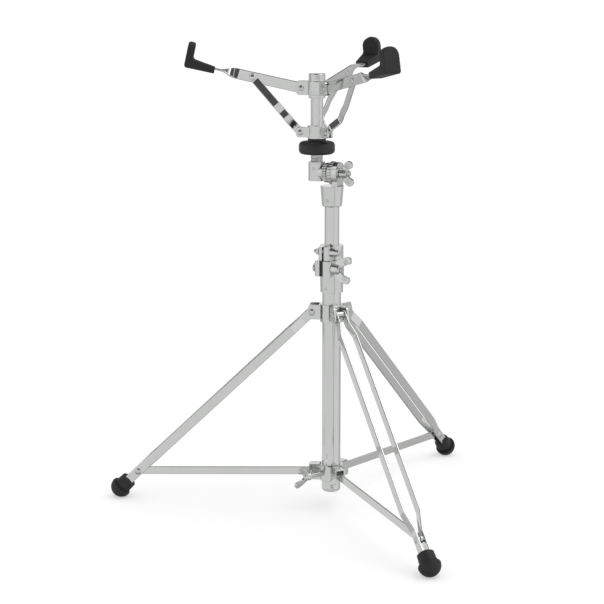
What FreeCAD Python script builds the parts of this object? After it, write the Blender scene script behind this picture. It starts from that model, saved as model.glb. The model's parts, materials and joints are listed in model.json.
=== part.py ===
import FreeCAD, Part
import math
import os
import re

import Sketcher
from FreeCAD import Placement, Rotation, Vector

# A snare drum stand: a folding tripod, a tube that slides in a clamp, a tilter and a three-armed basket.
# Millimetres and degrees. Z is up, the origin is on the floor below the main tube and the front is -Y.

# Driving dimensions, by sub-assembly
SIZES = {
    # Shared clearances and edge rounding
    "cut_overrun": 2.0,
    "running_gap": 0.3,
    "fit_gap": 0.05,
    "edge_round_share": 0.33,
    # Main tube, whose bottom is measured down from the brace hub, and its end cap
    "main_tube_radius": 14.3,
    "main_tube_wall": 1.5,
    "main_tube_bottom": 14.0,
    "main_tube_length": 329.0,
    "end_cap_rim": 4.0,
    "end_cap_round": 3.2,
    "end_cap_depth": 14.0,
    "cap_rivet_radius": 1.6,
    "cap_rivet_rise": 5.0,
    "cap_rivet_azimuth": -84.0,
    "cap_rivet_length": 6.0,
    "cap_rivet_head_radius": 2.8,
    "cap_rivet_dome": 0.9,
    # Leg hub, measured down from the main tube's top and out from its collar
    "leg_hub_drop": 51.0,
    "leg_hub_wall": 3.2,
    "leg_hub_height": 27.0,
    "leg_hub_below_pivot": 15.5,
    "leg_pivot_offset": 11.5,
    "leg_hub_ear_thick": 3.0,
    "leg_hub_ear_height": 22.0,
    "leg_hub_ear_top_margin": 4.5,
    "leg_hub_ear_low_margin": 12.0,
    "leg_hub_ear_round": 4.0,
    "leg_hub_slot_wall": 1.2,
    "leg_hub_screw_radius": 2.5,
    # Legs: joggled bars from the hub's pivots to the feet
    "leg_azimuth": 174.0,
    "leg_bar_width": 14.0,
    "leg_bar_thick": 3.0,
    "leg_bar_top_spacing": 14.0,
    "leg_bar_spacing": 25.0,
    "leg_bar_foot_spacing": 11.0,
    "leg_top_joggle_start": 19.0,
    "leg_top_joggle": 21.0,
    "leg_foot_joggle": 30.0,
    "leg_foot_joggle_lead": 12.0,
    "leg_rivet_to_ball": 40.0,
    "leg_rivet_radius": 3.0,
    "leg_rivet_head_radius": 5.2,
    "leg_rivet_dome": 1.8,
    "leg_rivet_shoulder_radius": 4.6,
    "leg_pivot_sleeve_radius": 5.0,
    # Feet
    "foot_spread": 331.0,
    "foot_ball_radius": 16.5,
    "foot_flat": 0.5,
    "foot_sleeve_radius": 13.2,
    "foot_mouth_radius": 12.3,
    "foot_sleeve_above_ball": 17.5,
    "foot_shoulder": 1.0,
    "foot_mouth_round": 1.5,
    "leg_bar_above_ball": 4.0,
    # Braces and their sliding hub
    "brace_width": 12.4,
    "brace_thick": 3.0,
    "brace_pivot_height": 54.0,
    "brace_pivot_offset": 9.0,
    "brace_hub_wall": 4.2,
    "brace_hub_height": 24.0,
    "brace_hub_arm_width": 17.0,
    "brace_hub_arm_margin": 6.5,
    "brace_hub_arm_round": 3.0,
    "brace_pin_radius": 2.5,
    "brace_pin_head_radius": 4.0,
    "brace_pin_dome": 1.2,
    "tripod_bolt_azimuth": 218.0,
    "tripod_bolt_radius": 4.0,
    "tripod_bolt_stub": 23.0,
    "tripod_bolt_collar_radius": 6.5,
    "tripod_bolt_collar_length": 9.0,
    "tripod_wing_span": 16.5,
    "tripod_wing_rise": 22.0,
    "tripod_wing_root": 8.0,
    "tripod_wing_tip": 8.0,
    "tripod_wing_blade": 4.0,
    "tripod_wing_turn": -20.0,
    # Height clamp on the main tube's top
    "clamp_azimuth": -30.0,
    "clamp_skirt_depth": 20.5,
    "clamp_skirt_wall": 2.9,
    "clamp_waist_wall": 3.5,
    "clamp_rise": 7.0,
    "clamp_height": 23.0,
    "clamp_wall": 2.6,
    "clamp_bush_wall": 4.9,
    "clamp_lug_length": 13.4,
    "clamp_lug_left": 13.0,
    "clamp_lug_right": 15.0,
    "clamp_lug_round": 5.0,
    "clamp_split": 6.0,
    "clamp_bolt_offset": 4.4,
    "clamp_bolt_radius": 4.0,
    "clamp_bolt_head_radius": 6.5,
    "clamp_bolt_head_height": 4.0,
    "clamp_bolt_stub": 16.0,
    "clamp_screw_rise": 6.5,
    "clamp_screw_radius": 2.2,
    "clamp_nut_radius": 8.5,
    "clamp_nut_top_radius": 6.5,
    "clamp_nut_height": 13.0,
    "clamp_wing_span": 18.5,
    "clamp_wing_rise": 25.0,
    "clamp_wing_root": 10.0,
    "clamp_wing_tip": 9.0,
    "clamp_wing_blade": 5.0,
    "clamp_wing_turn": -9.0,
    # Upper tube and memory lock
    "upper_tube_radius": 11.1,
    "upper_tube_wall": 1.5,
    "upper_tube_insertion": 197.0,
    "upper_tube_rise": 129.0,
    "guide_flange_height": 12.0,
    "guide_plug_depth": 15.0,
    "lock_wall": 6.4,
    "lock_height": 20.5,
    "lock_lug_length": 9.5,
    "lock_lug_left": 9.0,
    "lock_lug_right": 11.0,
    "lock_lug_round": 4.0,
    "lock_split": 3.0,
    "lock_screw_offset": 3.0,
    "lock_screw_rise": 12.7,
    "lock_screw_radius": 2.6,
    "lock_screw_stub": 5.0,
    "lock_nut_across": 9.0,
    "lock_nut_height": 4.0,
    "lock_head_radius": 7.2,
    "lock_head_neck_radius": 4.5,
    "lock_head_length": 14.0,
    # Tilter on the upper tube's top
    "socket_depth": 20.0,
    "socket_cap": 11.0,
    "socket_bottom_wall": 4.0,
    "socket_top_wall": 6.4,
    "socket_chamfer": 1.5,
    "socket_screw_rise": 10.0,
    "socket_screw_radius": 2.2,
    "tilt_azimuth": -24.0,
    "tilt_disc_radius": 16.7,
    "tilt_disc_clear": 2.3,
    "tilt_face_offset": 5.0,
    "tilt_lug_thick": 8.0,
    "tilt_lug_neck": 24.0,
    "tilt_head_disc_thick": 6.5,
    "tilt_stud_radius": 4.0,
    "tilt_stud_depth": 15.0,
    "tilt_stud_stub": 4.5,
    "tilt_nut_radius": 7.5,
    "tilt_nut_top_radius": 5.8,
    "tilt_nut_height": 11.0,
    "tilt_wing_span": 17.5,
    "tilt_wing_rise": 16.0,
    "tilt_wing_root": 9.0,
    "tilt_wing_tip": 9.0,
    "tilt_wing_blade": 5.0,
    "tilt_wing_turn": 10.0,
    "post_offset": 25.0,
    "head_wall": 3.4,
    "head_below_axis": 12.5,
    "head_above_axis": 16.0,
    "head_floor": 3.0,
    "head_boss_radius": 11.8,
    # Basket post, crown, slider and handwheel
    "post_radius": 9.3,
    "post_rise": 143.0,
    "post_pin_radius": 2.0,
    "post_pin_rise": 6.0,
    "crown_wall": 3.2,
    "crown_height": 36.0,
    "crown_cap": 3.0,
    "crown_round": 1.5,
    "crown_ear_half_height": 10.5,
    "crown_ear_margin": 7.5,
    "crown_ear_thick": 3.0,
    "crown_ear_round": 5.0,
    "crown_screw_drop": 5.5,
    "crown_screw_radius": 2.2,
    "basket_pin_radius": 2.5,
    "basket_pin_head_radius": 4.2,
    "basket_pin_dome": 1.4,
    "slider_wall": 4.7,
    "slider_height": 19.2,
    "slider_ear_margin": 6.0,
    "slider_ear_half_height": 7.5,
    "slider_ear_thick": 3.0,
    "slider_ear_round": 4.0,
    "handwheel_radius": 27.0,
    "handwheel_height": 18.7,
    "handwheel_round": 6.0,
    "handwheel_neck_height": 4.3,
    "handwheel_neck_wall": 1.5,
    "insert_wall": 2.7,
    # Arms, struts and rubber tips
    "arm_azimuth": 183.0,
    "arm_pivot_drop": 21.0,
    "arm_pivot_offset": 11.0,
    "arm_rise": 12.5,
    "arm_width": 15.8,
    "arm_thick": 3.0,
    "arm_twist_lead": 18.0,
    "arm_twist": 30.0,
    "arm_flat_bare": 9.0,
    "arm_upturn": 24.0,
    "arm_rivet_reach": 73.0,
    "arm_rivet_radius": 2.6,
    "arm_rivet_head_radius": 4.6,
    "arm_rivet_dome": 1.5,
    "strut_pivot_drop": 65.0,
    "strut_pivot_offset": 11.0,
    "strut_width": 12.0,
    "strut_thick": 3.0,
    "strut_bow": 13.0,
    "strut_bow_start": 9.0,
    "strut_bow_full": 23.0,
    "strut_bow_leave": 48.0,
    "strut_bow_end": 92.0,
    "tip_length": 39.0,
    "tip_front_wall": 2.0,
    "tip_back_wall": 6.0,
    "tip_side_wall": 5.6,
    "tip_mouth_wall": 2.6,
    "tip_under_wall": 5.3,
    "tip_lip_wall": 1.1,
    "tip_shelf_wall": 5.7,
    "tip_crest": 7.5,
    "tip_round": 4.0,
}

# Levels and radii that follow from the driving dimensions
MAIN_BORE = "(main_tube_radius - main_tube_wall)"
BRACE_HUB_BOTTOM = "(brace_pivot_height - brace_hub_height / 2)"
MAIN_BOTTOM = f"({BRACE_HUB_BOTTOM} - main_tube_bottom)"
MAIN_TOP = f"({MAIN_BOTTOM} + main_tube_length)"
LEG_HUB_RADIUS = "(main_tube_radius + leg_hub_wall)"
LEG_PIVOT_HEIGHT = f"({MAIN_TOP} - leg_hub_drop)"
LEG_PIVOT_RADIUS = f"({LEG_HUB_RADIUS} + leg_pivot_offset)"
BRACE_HUB_RADIUS = "(main_tube_radius + brace_hub_wall)"
BRACE_PIVOT_RADIUS = f"({BRACE_HUB_RADIUS} + brace_pivot_offset)"
CLAMP_BOTTOM = f"({MAIN_TOP} + clamp_rise)"
CLAMP_TOP = f"({CLAMP_BOTTOM} + clamp_height)"
CLAMP_BUSH_RADIUS = "(upper_tube_radius + clamp_bush_wall)"
CLAMP_RADIUS = f"({CLAMP_BUSH_RADIUS} + clamp_wall)"
CLAMP_LUG_REACH = f"({CLAMP_RADIUS} + clamp_lug_length)"
CLAMP_BOLT_REACH = f"({CLAMP_RADIUS} + clamp_bolt_offset)"
CLAMP_BOLT_HEIGHT = f"({CLAMP_BOTTOM} + clamp_height / 2)"
CLAMP_SKIRT_BOTTOM = f"({MAIN_TOP} - clamp_skirt_depth)"
UPPER_BOTTOM = f"({MAIN_TOP} - upper_tube_insertion)"
UPPER_TOP = f"({MAIN_TOP} + upper_tube_rise)"
LOCK_BOTTOM = f"({CLAMP_TOP} + running_gap)"
LOCK_RADIUS = "(upper_tube_radius + lock_wall)"
LOCK_SCREW_REACH = f"({LOCK_RADIUS} + lock_screw_offset)"
LOCK_SCREW_HEIGHT = f"({LOCK_BOTTOM} + lock_screw_rise)"
SOCKET_BOTTOM = f"({UPPER_TOP} - socket_depth)"
SOCKET_TOP = f"({UPPER_TOP} + socket_cap)"
SOCKET_BOTTOM_RADIUS = "(upper_tube_radius + socket_bottom_wall)"
SOCKET_TOP_RADIUS = "(upper_tube_radius + socket_top_wall)"
TILT_HEIGHT = f"({SOCKET_TOP} + tilt_disc_radius + tilt_disc_clear)"
TILT_HEAD_FACE = "(tilt_face_offset - running_gap / 2)"
TILT_LUG_FACE = "(tilt_face_offset + running_gap / 2)"
TILT_NUT_SEAT = f"({TILT_LUG_FACE} + tilt_lug_thick + running_gap)"
HEAD_RADIUS = "(post_radius + head_wall)"
HEAD_BOTTOM = f"({TILT_HEIGHT} - head_below_axis)"
POST_TOP = f"({TILT_HEIGHT} + post_rise)"
POST_PIN_HEIGHT = f"({TILT_HEIGHT} + post_pin_rise)"
CROWN_RADIUS = "(post_radius + crown_wall)"
CROWN_TOP = f"({POST_TOP} + crown_cap)"
ARM_PIVOT_HEIGHT = f"({CROWN_TOP} - arm_pivot_drop)"
ARM_PIVOT_RADIUS = f"({CROWN_RADIUS} + arm_pivot_offset)"
SLIDER_RADIUS = "(post_radius + slider_wall)"
STRUT_PIVOT_HEIGHT = f"({ARM_PIVOT_HEIGHT} - strut_pivot_drop)"
STRUT_PIVOT_RADIUS = f"({SLIDER_RADIUS} + strut_pivot_offset)"
ARM_TWIST_START = "(arm_rivet_reach + arm_twist_lead)"
ARM_TWIST_END = f"({ARM_TWIST_START} + arm_twist)"
ARM_UPTURN_REACH = f"({ARM_TWIST_END} + arm_flat_bare + tip_length)"
STRUT_LATERAL = "((arm_thick + strut_thick) / 2 + running_gap)"
SLIDER_BOTTOM = f"({STRUT_PIVOT_HEIGHT} - slider_height / 2)"
HANDWHEEL_NECK_TOP = f"({SLIDER_BOTTOM} - running_gap)"
HANDWHEEL_TOP = f"({HANDWHEEL_NECK_TOP} - handwheel_neck_height)"
HANDWHEEL_BOTTOM = f"({HANDWHEEL_TOP} - handwheel_height)"
INSERT_RADIUS = "(post_radius + insert_wall)"

LEG_COUNT = 3
ARM_COUNT = 3
TWIST_STEPS = 6
WING_SEAT_SHARE = 0.25
WING_BELLY_SHARES = {"tripod_wing": 0.10, "clamp_wing": 0.25, "tilt_wing": 0.10}
WING_HOLLOW_SHARE = 0.16
WING_TIP_SHARE = 0.5
FULL_TURN = 360.0
QUARTER_TURN = 90.0
NOTHING = 1e-9
NODE_LIMIT = 60

# Axes of the part's frame
ORIGIN = Vector(0, 0, 0)
X_AXIS = Vector(1, 0, 0)
Y_AXIS = Vector(0, 1, 0)
Z_AXIS = Vector(0, 0, 1)

doc = FreeCAD.newDocument("SnareDrumStand")
sheet = doc.addObject("Spreadsheet::Sheet", "Sizes")
nodes = []


def fill_sheet():
    """Put every driving dimension in its own named cell."""
    for row, (alias, value) in enumerate(SIZES.items(), start=1):
        sheet.set(f"A{row}", alias)
        sheet.set(f"B{row}", str(value))
        sheet.setAlias(f"B{row}", alias)
    doc.recompute()


def size(expression):
    """The value of a sheet expression; a number stays as it is."""
    if isinstance(expression, str):
        return float(sheet.evalExpression(expression))
    return float(expression)


def bind(item, name, expression):
    """Tie a property to the sheet, or set it where its value is worked out from several pieces."""
    if isinstance(expression, str):
        cells = re.sub(r"[a-z]\w+", lambda m: f"Sizes.{m[0]}" if m[0] in SIZES else m[0], expression)
        item.setExpression(name, cells)
    else:
        setattr(item, name, expression)


def node(item, label, placement=None):
    """Name a finished piece and keep it for export."""
    item.Label = label
    if placement is not None:
        item.Placement = placement
    nodes.append(item)
    return item


# Frames that the pieces are placed by
def turned_about_z(azimuth, base=ORIGIN):
    """A frame at base whose X axis points along the azimuth."""
    return Placement(base, Rotation(Z_AXIS, azimuth))


def shifted(placement, x, y, z, axis=Z_AXIS, angle=0.0):
    """A frame moved and turned inside another frame."""
    return placement.multiply(Placement(Vector(size(x), size(y), size(z)), Rotation(axis, angle)))


def across(placement, x, z, y=0.0):
    """A frame whose Z axis runs along the Y axis of another frame, through a point of its XZ plane."""
    return shifted(placement, x, y, z, X_AXIS, -QUARTER_TURN)


def leg_azimuth(index):
    return size("leg_azimuth") + index * FULL_TURN / LEG_COUNT


def arm_azimuth(index):
    return size("arm_azimuth") + index * FULL_TURN / ARM_COUNT


def leg_span():
    """From the hub pivot to the middle of the foot's ball: outward and downward distances."""
    outward = size(f"foot_spread - {LEG_PIVOT_RADIUS}")
    downward = size(f"{LEG_PIVOT_HEIGHT} - foot_ball_radius + foot_flat")
    return outward, downward


def leg_length():
    return math.hypot(*leg_span())


def leg_slope():
    """How far the leg points below the horizon, in degrees."""
    outward, downward = leg_span()
    return math.degrees(math.atan2(downward, outward))


def brace_reach():
    """From the hub pivot along the leg to the rivet that carries the brace."""
    return leg_length() - size("leg_rivet_to_ball")


def leg_frame(index):
    """Origin on the hub pivot, X down the leg, Y across it."""
    hub = turned_about_z(leg_azimuth(index))
    return shifted(hub, LEG_PIVOT_RADIUS, 0, LEG_PIVOT_HEIGHT, Y_AXIS, leg_slope())


def brace_span():
    """The brace from its hub pin to the leg rivet: outward and upward distances."""
    slope = math.radians(leg_slope())
    outward = size(f"{LEG_PIVOT_RADIUS} - {BRACE_PIVOT_RADIUS}") + brace_reach() * math.cos(slope)
    upward = size(f"{LEG_PIVOT_HEIGHT} - brace_pivot_height") - brace_reach() * math.sin(slope)
    return outward, upward


def brace_frame(index):
    outward, upward = brace_span()
    hub = turned_about_z(leg_azimuth(index))
    slope = -math.degrees(math.atan2(upward, outward))
    return shifted(hub, BRACE_PIVOT_RADIUS, 0, "brace_pivot_height", Y_AXIS, slope)


def clamp_frame():
    """X along the clamp bolt, with the lugs towards -Y."""
    return turned_about_z(size("clamp_azimuth"))


def tilt_frame():
    """X along the tilt axis, from the post to the wing nut."""
    return turned_about_z(size("tilt_azimuth"))


def post_base():
    """The basket post's axis on the floor plane."""
    return tilt_frame().multVec(Vector(-size("post_offset"), 0, 0))


def basket_frame(index=0):
    """The post's axis, with X towards an arm."""
    return turned_about_z(arm_azimuth(index), post_base())


def arm_frame(index):
    """Origin on the crown pivot, X along the arm, Z square to it."""
    crown = basket_frame(index)
    return shifted(crown, ARM_PIVOT_RADIUS, 0, ARM_PIVOT_HEIGHT, Y_AXIS, -size("arm_rise"))


def strut_span():
    """The strut from its slider pin to the arm rivet: outward and upward distances."""
    outward = size(f"{ARM_PIVOT_RADIUS} - {STRUT_PIVOT_RADIUS} + arm_rivet_reach * cos(arm_rise)")
    upward = size("strut_pivot_drop + arm_rivet_reach * sin(arm_rise)")
    return outward, upward


def strut_frame(index):
    outward, upward = strut_span()
    slope = -math.degrees(math.atan2(upward, outward))
    return shifted(basket_frame(index), STRUT_PIVOT_RADIUS, 0, STRUT_PIVOT_HEIGHT, Y_AXIS, slope)


# Sketches and features
def new_body(name):
    return doc.addObject("PartDesign::Body", name)


def origin_feature(body, role):
    return next(item for item in body.Origin.OriginFeatures if item.Role == role)


def new_sketch(body, role, offset=None):
    """A sketch on one of the body's own planes, moved along the plane's normal by offset."""
    sketch = body.newObject("Sketcher::SketchObject", body.Name + "Sketch")
    sketch.AttachmentSupport = [(origin_feature(body, role), "")]
    sketch.MapMode = "FlatFace"
    if offset is not None:
        sketch.AttachmentOffset = Placement(Vector(0, 0, size(offset)), Rotation())
        if isinstance(offset, str):
            bind(sketch, "AttachmentOffset.Base.z", offset)
    return sketch


def hold(sketch, constraint, expression):
    """Add a dimension to a sketch and tie it to the sheet."""
    row = sketch.addConstraint(constraint)
    if isinstance(expression, str):
        bind(sketch, f"Constraints[{row}]", expression)


def pin_point(sketch, curve, end, x, y):
    """Hold a sketch point at sheet values measured from the sketch's origin."""
    for kind, expression, axis in (("DistanceX", x, -2), ("DistanceY", y, -1)):
        value = size(expression)
        if abs(value) < NOTHING:
            sketch.addConstraint(Sketcher.Constraint("PointOnObject", curve, end, axis))
        else:
            hold(sketch, Sketcher.Constraint(kind, -1, 1, curve, end, value), expression)


def curve_end(sketch, curve, point):
    """Which end of a sketch curve lies on the point."""
    to_start = sketch.getPoint(curve, 1).distanceToPoint(point)
    to_end = sketch.getPoint(curve, 2).distanceToPoint(point)
    return 1 if to_start < to_end else 2


def corner_arc(point, before, after, radius):
    """Where a rounded corner's arc starts, bends and ends."""
    arriving = (before - point).normalize()
    leaving = (after - point).normalize()
    half = arriving.getAngle(leaving) / 2
    setback = radius / math.tan(half)
    inward = (arriving + leaving).normalize()
    bend = point + inward * (radius / math.sin(half) - radius)
    return point + arriving * setback, bend, point + leaving * setback


def draw_loop(sketch, corners):
    """A closed outline of corners: (x, y) is sharp, (x, y, radius) is rounded and
    (x, y, bend_x, bend_y) ends an arc through the bend."""
    points = [Vector(size(corner[0]), size(corner[1]), 0) for corner in corners]
    count = len(corners)
    arcs = {}
    for index, corner in enumerate(corners):
        if len(corner) == 3:
            after = points[(index + 1) % count]
            arcs[index] = corner_arc(points[index], points[index - 1], after, size(corner[2]))
    sides = []
    for index, corner in enumerate(corners):
        before = (index - 1) % count
        start = arcs[before][2] if before in arcs else points[before]
        end = arcs[index][0] if index in arcs else points[index]
        if len(corner) == 4:
            bend = Vector(size(corner[2]), size(corner[3]), 0)
            sides.append(sketch.addGeometry(Part.Arc(start, bend, end)))
        else:
            sides.append(sketch.addGeometry(Part.LineSegment(start, end)))
    for index, corner in enumerate(corners):
        side = sides[index]
        after = sides[(index + 1) % count]
        if index in arcs:
            round_corner(sketch, side, after, arcs[index], corner, points[index])
        else:
            end = curve_end(sketch, side, points[index])
            start = curve_end(sketch, after, points[index])
            sketch.addConstraint(Sketcher.Constraint("Coincident", side, end, after, start))
            pin_point(sketch, side, end, corner[0], corner[1])


def round_corner(sketch, side, after, arc, corner, point):
    """An arc tangent to two sides whose lines meet at a held point."""
    curve = sketch.addGeometry(Part.Arc(*arc))
    for line, meeting in ((side, arc[0]), (after, arc[2])):
        line_end = curve_end(sketch, line, meeting)
        arc_end = curve_end(sketch, curve, meeting)
        sketch.addConstraint(Sketcher.Constraint("Tangent", line, line_end, curve, arc_end))
    meeting = sketch.addGeometry(Part.Point(point), True)
    for line in (side, after):
        sketch.addConstraint(Sketcher.Constraint("PointOnObject", meeting, 1, line))
    pin_point(sketch, meeting, 1, corner[0], corner[1])
    hold(sketch, Sketcher.Constraint("Radius", curve, size(corner[2])), corner[2])


def draw_circle(sketch, x, y, radius):
    centre = Vector(size(x), size(y), 0)
    curve = sketch.addGeometry(Part.Circle(centre, Z_AXIS, size(radius)))
    pin_point(sketch, curve, 3, x, y)
    hold(sketch, Sketcher.Constraint("Radius", curve, size(radius)), radius)


def draw_box(sketch, left, bottom, right, top):
    draw_loop(sketch, [(left, bottom), (right, bottom), (right, top), (left, top)])


def stadium(length, radius):
    """An outline round two points of the X axis, the first at the origin."""
    r = size(radius)
    return [(length, -r), (length, r, length + r, 0), (0, r), (0, -r, -r, 0)]


def round_end(centre, radius, way):
    """What is trimmed off a bar to leave a round end about a point of the X axis."""
    beyond = radius + size("cut_overrun")
    far = centre + way * beyond
    return [
        (far, -beyond),
        (centre, -beyond),
        (centre, -radius),
        (centre, radius, centre + way * radius, 0),
        (centre, beyond),
        (far, beyond),
    ]


def pad(body, sketch, length, symmetric=False):
    feature = body.newObject("PartDesign::Pad", body.Name + "Pad")
    feature.Profile = sketch
    bind(feature, "Length", length)
    if symmetric:
        feature.SideType = "Symmetric"
    doc.recompute()
    return feature


def pocket(body, sketch, length=None, symmetric=False, backward=False):
    """Cut a sketch out of the body, right through where no length is given."""
    before = body.Shape.Volume
    feature = body.newObject("PartDesign::Pocket", body.Name + "Pocket")
    feature.Profile = sketch
    if length is None:
        feature.Type = "ThroughAll"
    else:
        bind(feature, "Length", length)
    feature.Reversed = backward
    if symmetric:
        feature.SideType = "Symmetric"
    doc.recompute()
    if body.Shape.Volume > before - NOTHING:
        raise ValueError(f"a pocket in {body.Name} cuts nothing")
    return feature


def turned_body(name, corners, axis="V_Axis"):
    """A body turned from an outline in its XZ plane."""
    body = new_body(name)
    sketch = new_sketch(body, "XZ_Plane")
    draw_loop(sketch, corners)
    feature = body.newObject("PartDesign::Revolution", body.Name + "Turn")
    feature.Profile = sketch
    feature.ReferenceAxis = (sketch, [axis])
    feature.Angle = FULL_TURN
    doc.recompute()
    return body


def ring_body(name, inner, outer, bottom, top):
    """A plain collar about the Z axis."""
    return turned_body(name, [(inner, bottom), (outer, bottom), (outer, top), (inner, top)])


def repeat_round(body, features, count):
    """Repeat features evenly about the body's Z axis."""
    pattern = body.newObject("PartDesign::PolarPattern", body.Name + "Pattern")
    pattern.Originals = features
    pattern.Axis = (origin_feature(body, "Z_Axis"), [""])
    pattern.Angle = FULL_TURN
    pattern.Occurrences = count
    body.Tip = pattern
    doc.recompute()


def bore_along_x(body, reach, height, radius):
    """A hole right through a body along its X axis, on the -Y side."""
    sketch = new_sketch(body, "YZ_Plane")
    draw_circle(sketch, f"-{reach}", height, radius)
    pocket(body, sketch, symmetric=True)


def cylinder(name, radius, height, placement):
    item = doc.addObject("Part::Cylinder", name)
    bind(item, "Radius", radius)
    bind(item, "Height", height)
    item.Placement = placement
    return item


def block(name, length, width, height, placement):
    item = doc.addObject("Part::Box", name)
    bind(item, "Length", length)
    bind(item, "Width", width)
    bind(item, "Height", height)
    item.Placement = placement
    return item


def cut(name, base, tool):
    item = doc.addObject("Part::Cut", name)
    item.Base = base
    item.Tool = tool
    doc.recompute()
    return item


def fuse(name, pieces):
    item = doc.addObject("Part::MultiFuse", name)
    item.Shapes = pieces
    item.Refine = True
    doc.recompute()
    return item


def group(name, items):
    item = doc.addObject("Part::Compound", name)
    item.Links = items
    return item


# Fasteners
def dome(height, radius, rim):
    """The corners of a domed rivet head, from its rim to its crown on the axis."""
    low = size(rim)
    top = size(height)
    edge = size(radius)
    sphere = (edge ** 2 + top ** 2) / (2 * top)
    half = math.asin(edge / sphere) / 2
    bend_x = sphere * math.sin(half)
    bend_y = low + top - sphere * (1 - math.cos(half))
    return [(radius, low), (0, low + top, bend_x, bend_y)]


def mirrored_dome(height, radius, rim):
    """The same head at the other end of a rivet, from its crown to its rim."""
    edge, crown = dome(height, radius, rim)
    return [(0, -crown[1]), (radius, -edge[1], crown[2], -crown[3])]


def headed_pin(name, radius, length, head_radius, head_dome, placement):
    """A rivet from its plain end at the frame's origin to a domed head."""
    body = turned_body(name, [(0, 0), (radius, 0), (radius, length)] + dome(head_dome, head_radius, length))
    body.Placement = placement
    return body


def double_headed_pin(name, radius, length, head_radius, head_dome, placement):
    """A rivet with a domed head at each end, centred on the frame's origin."""
    half = size(length) / 2
    corners = mirrored_dome(head_dome, head_radius, half)
    corners += [(radius, -half), (radius, half)]
    corners += dome(head_dome, head_radius, half)
    body = turned_body(name, corners)
    body.Placement = placement
    return body


def grub_screw(label, radius, inner, outer, frame):
    """A headless screw in a collar's wall and the plain way that it needs, along the frame's Z axis."""
    length = size(outer) - size(inner)
    screw = cylinder("GrubScrew", f"{radius} - fit_gap", length, shifted(frame, 0, 0, inner))
    node(screw, label)


def radial_frame(frame, height, azimuth):
    """A frame whose Z axis points away from another frame's axis, at a height."""
    turned = shifted(frame, 0, 0, height, Z_AXIS, azimuth)
    return shifted(turned, 0, 0, 0, Y_AXIS, QUARTER_TURN)


def bulged(start, end, share):
    """A point beside the middle of a chord, off it by a share of its length."""
    chord = end - start
    return (start + end) / 2 + Vector(chord.y, -chord.x, 0) * share


def wing_outline(wing, base):
    """One wing beside the Z axis: a blade that sweeps out and along the axis to a round tip."""
    span, rise, root, tip = (size(f"{wing}_{name}") for name in ("span", "rise", "root", "tip"))
    foot = Vector(0, base, 0)
    outer = Vector(span, base + rise - tip, 0)
    inner = Vector(span - tip, base + rise, 0)
    shoulder = Vector(0, base + root, 0)
    belly = bulged(foot, outer, WING_BELLY_SHARES[wing])
    crest = bulged(outer, inner, WING_TIP_SHARE)
    hollow = bulged(inner, shoulder, -WING_HOLLOW_SHARE)
    return [
        (foot.x, foot.y),
        (outer.x, outer.y, belly.x, belly.y),
        (inner.x, inner.y, crest.x, crest.y),
        (shoulder.x, shoulder.y, hollow.x, hollow.y),
    ]


def add_wings(body, wing, base):
    """Two opposite wings, as separate pads so that each joins the hub by itself."""
    for side in (1, -1):
        sketch = new_sketch(body, "XZ_Plane")
        mirrored = []
        for corner in wing_outline(wing, base):
            mirrored.append(tuple(side * v if place % 2 == 0 else v for place, v in enumerate(corner)))
        draw_loop(sketch, mirrored)
        pad(body, sketch, f"{wing}_blade", symmetric=True)


def wing_nut(name, nut, wing, bore):
    """A tapered hub on the Z axis with two swept wings and a bore."""
    top = f"{nut}_top_radius"
    height = f"{nut}_height"
    corners = [(0, 0), (f"{nut}_radius", 0), (top, height, f"{top} * edge_round_share"), (0, height)]
    body = turned_body(name, corners)
    add_wings(body, wing, size(height) * WING_SEAT_SHARE)
    sketch = new_sketch(body, "XY_Plane")
    draw_circle(sketch, 0, 0, bore)
    pocket(body, sketch, symmetric=True)
    return body


# Main tube
def make_main_tube():
    base = Placement(Vector(0, 0, size(MAIN_BOTTOM)), Rotation())
    outside = cylinder("MainTubeOutside", "main_tube_radius", "main_tube_length", base)
    bore = cylinder("MainTubeBore", MAIN_BORE, "main_tube_length", base)
    tube = cut("MainTube", outside, bore)
    depth = "main_tube_radius + cut_overrun"
    way = cylinder("CapRivetWay", "cap_rivet_radius + fit_gap", depth, cap_rivet_frame())
    node(cut("MainTubeDrilled", tube, way), "lower_tube")


def cap_rivet_frame():
    """Z out of the tube, along the end cap's rivet."""
    return radial_frame(Placement(), f"{MAIN_BOTTOM} + cap_rivet_rise", size("cap_rivet_azimuth"))


def make_end_cap():
    plug = f"{MAIN_BORE} - fit_gap"
    bottom = f"{MAIN_BOTTOM} - end_cap_rim"
    plug_top = f"{MAIN_BOTTOM} + end_cap_depth"
    corners = [
        (0, bottom),
        ("main_tube_radius", bottom, "end_cap_round"),
        ("main_tube_radius", MAIN_BOTTOM),
        (plug, MAIN_BOTTOM),
        (plug, plug_top),
        (0, plug_top),
    ]
    body = turned_body("EndCap", corners)
    seat = shifted(cap_rivet_frame(), 0, 0, "main_tube_radius - cap_rivet_length")
    way = cylinder("CapRivetSeat", "cap_rivet_radius + fit_gap", "main_tube_radius", seat)
    node(cut("EndCapDrilled", body, way), "tube_end_cap")
    head = ("cap_rivet_head_radius", "cap_rivet_dome")
    node(headed_pin("CapRivet", "cap_rivet_radius", "cap_rivet_length", *head, seat), "end_cap_rivet")


# Leg hub
def ear_inner_half():
    """From a leg's middle plane to the inner face of a hub ear."""
    return size("(leg_bar_top_spacing + leg_bar_thick) / 2 + running_gap")


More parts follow.
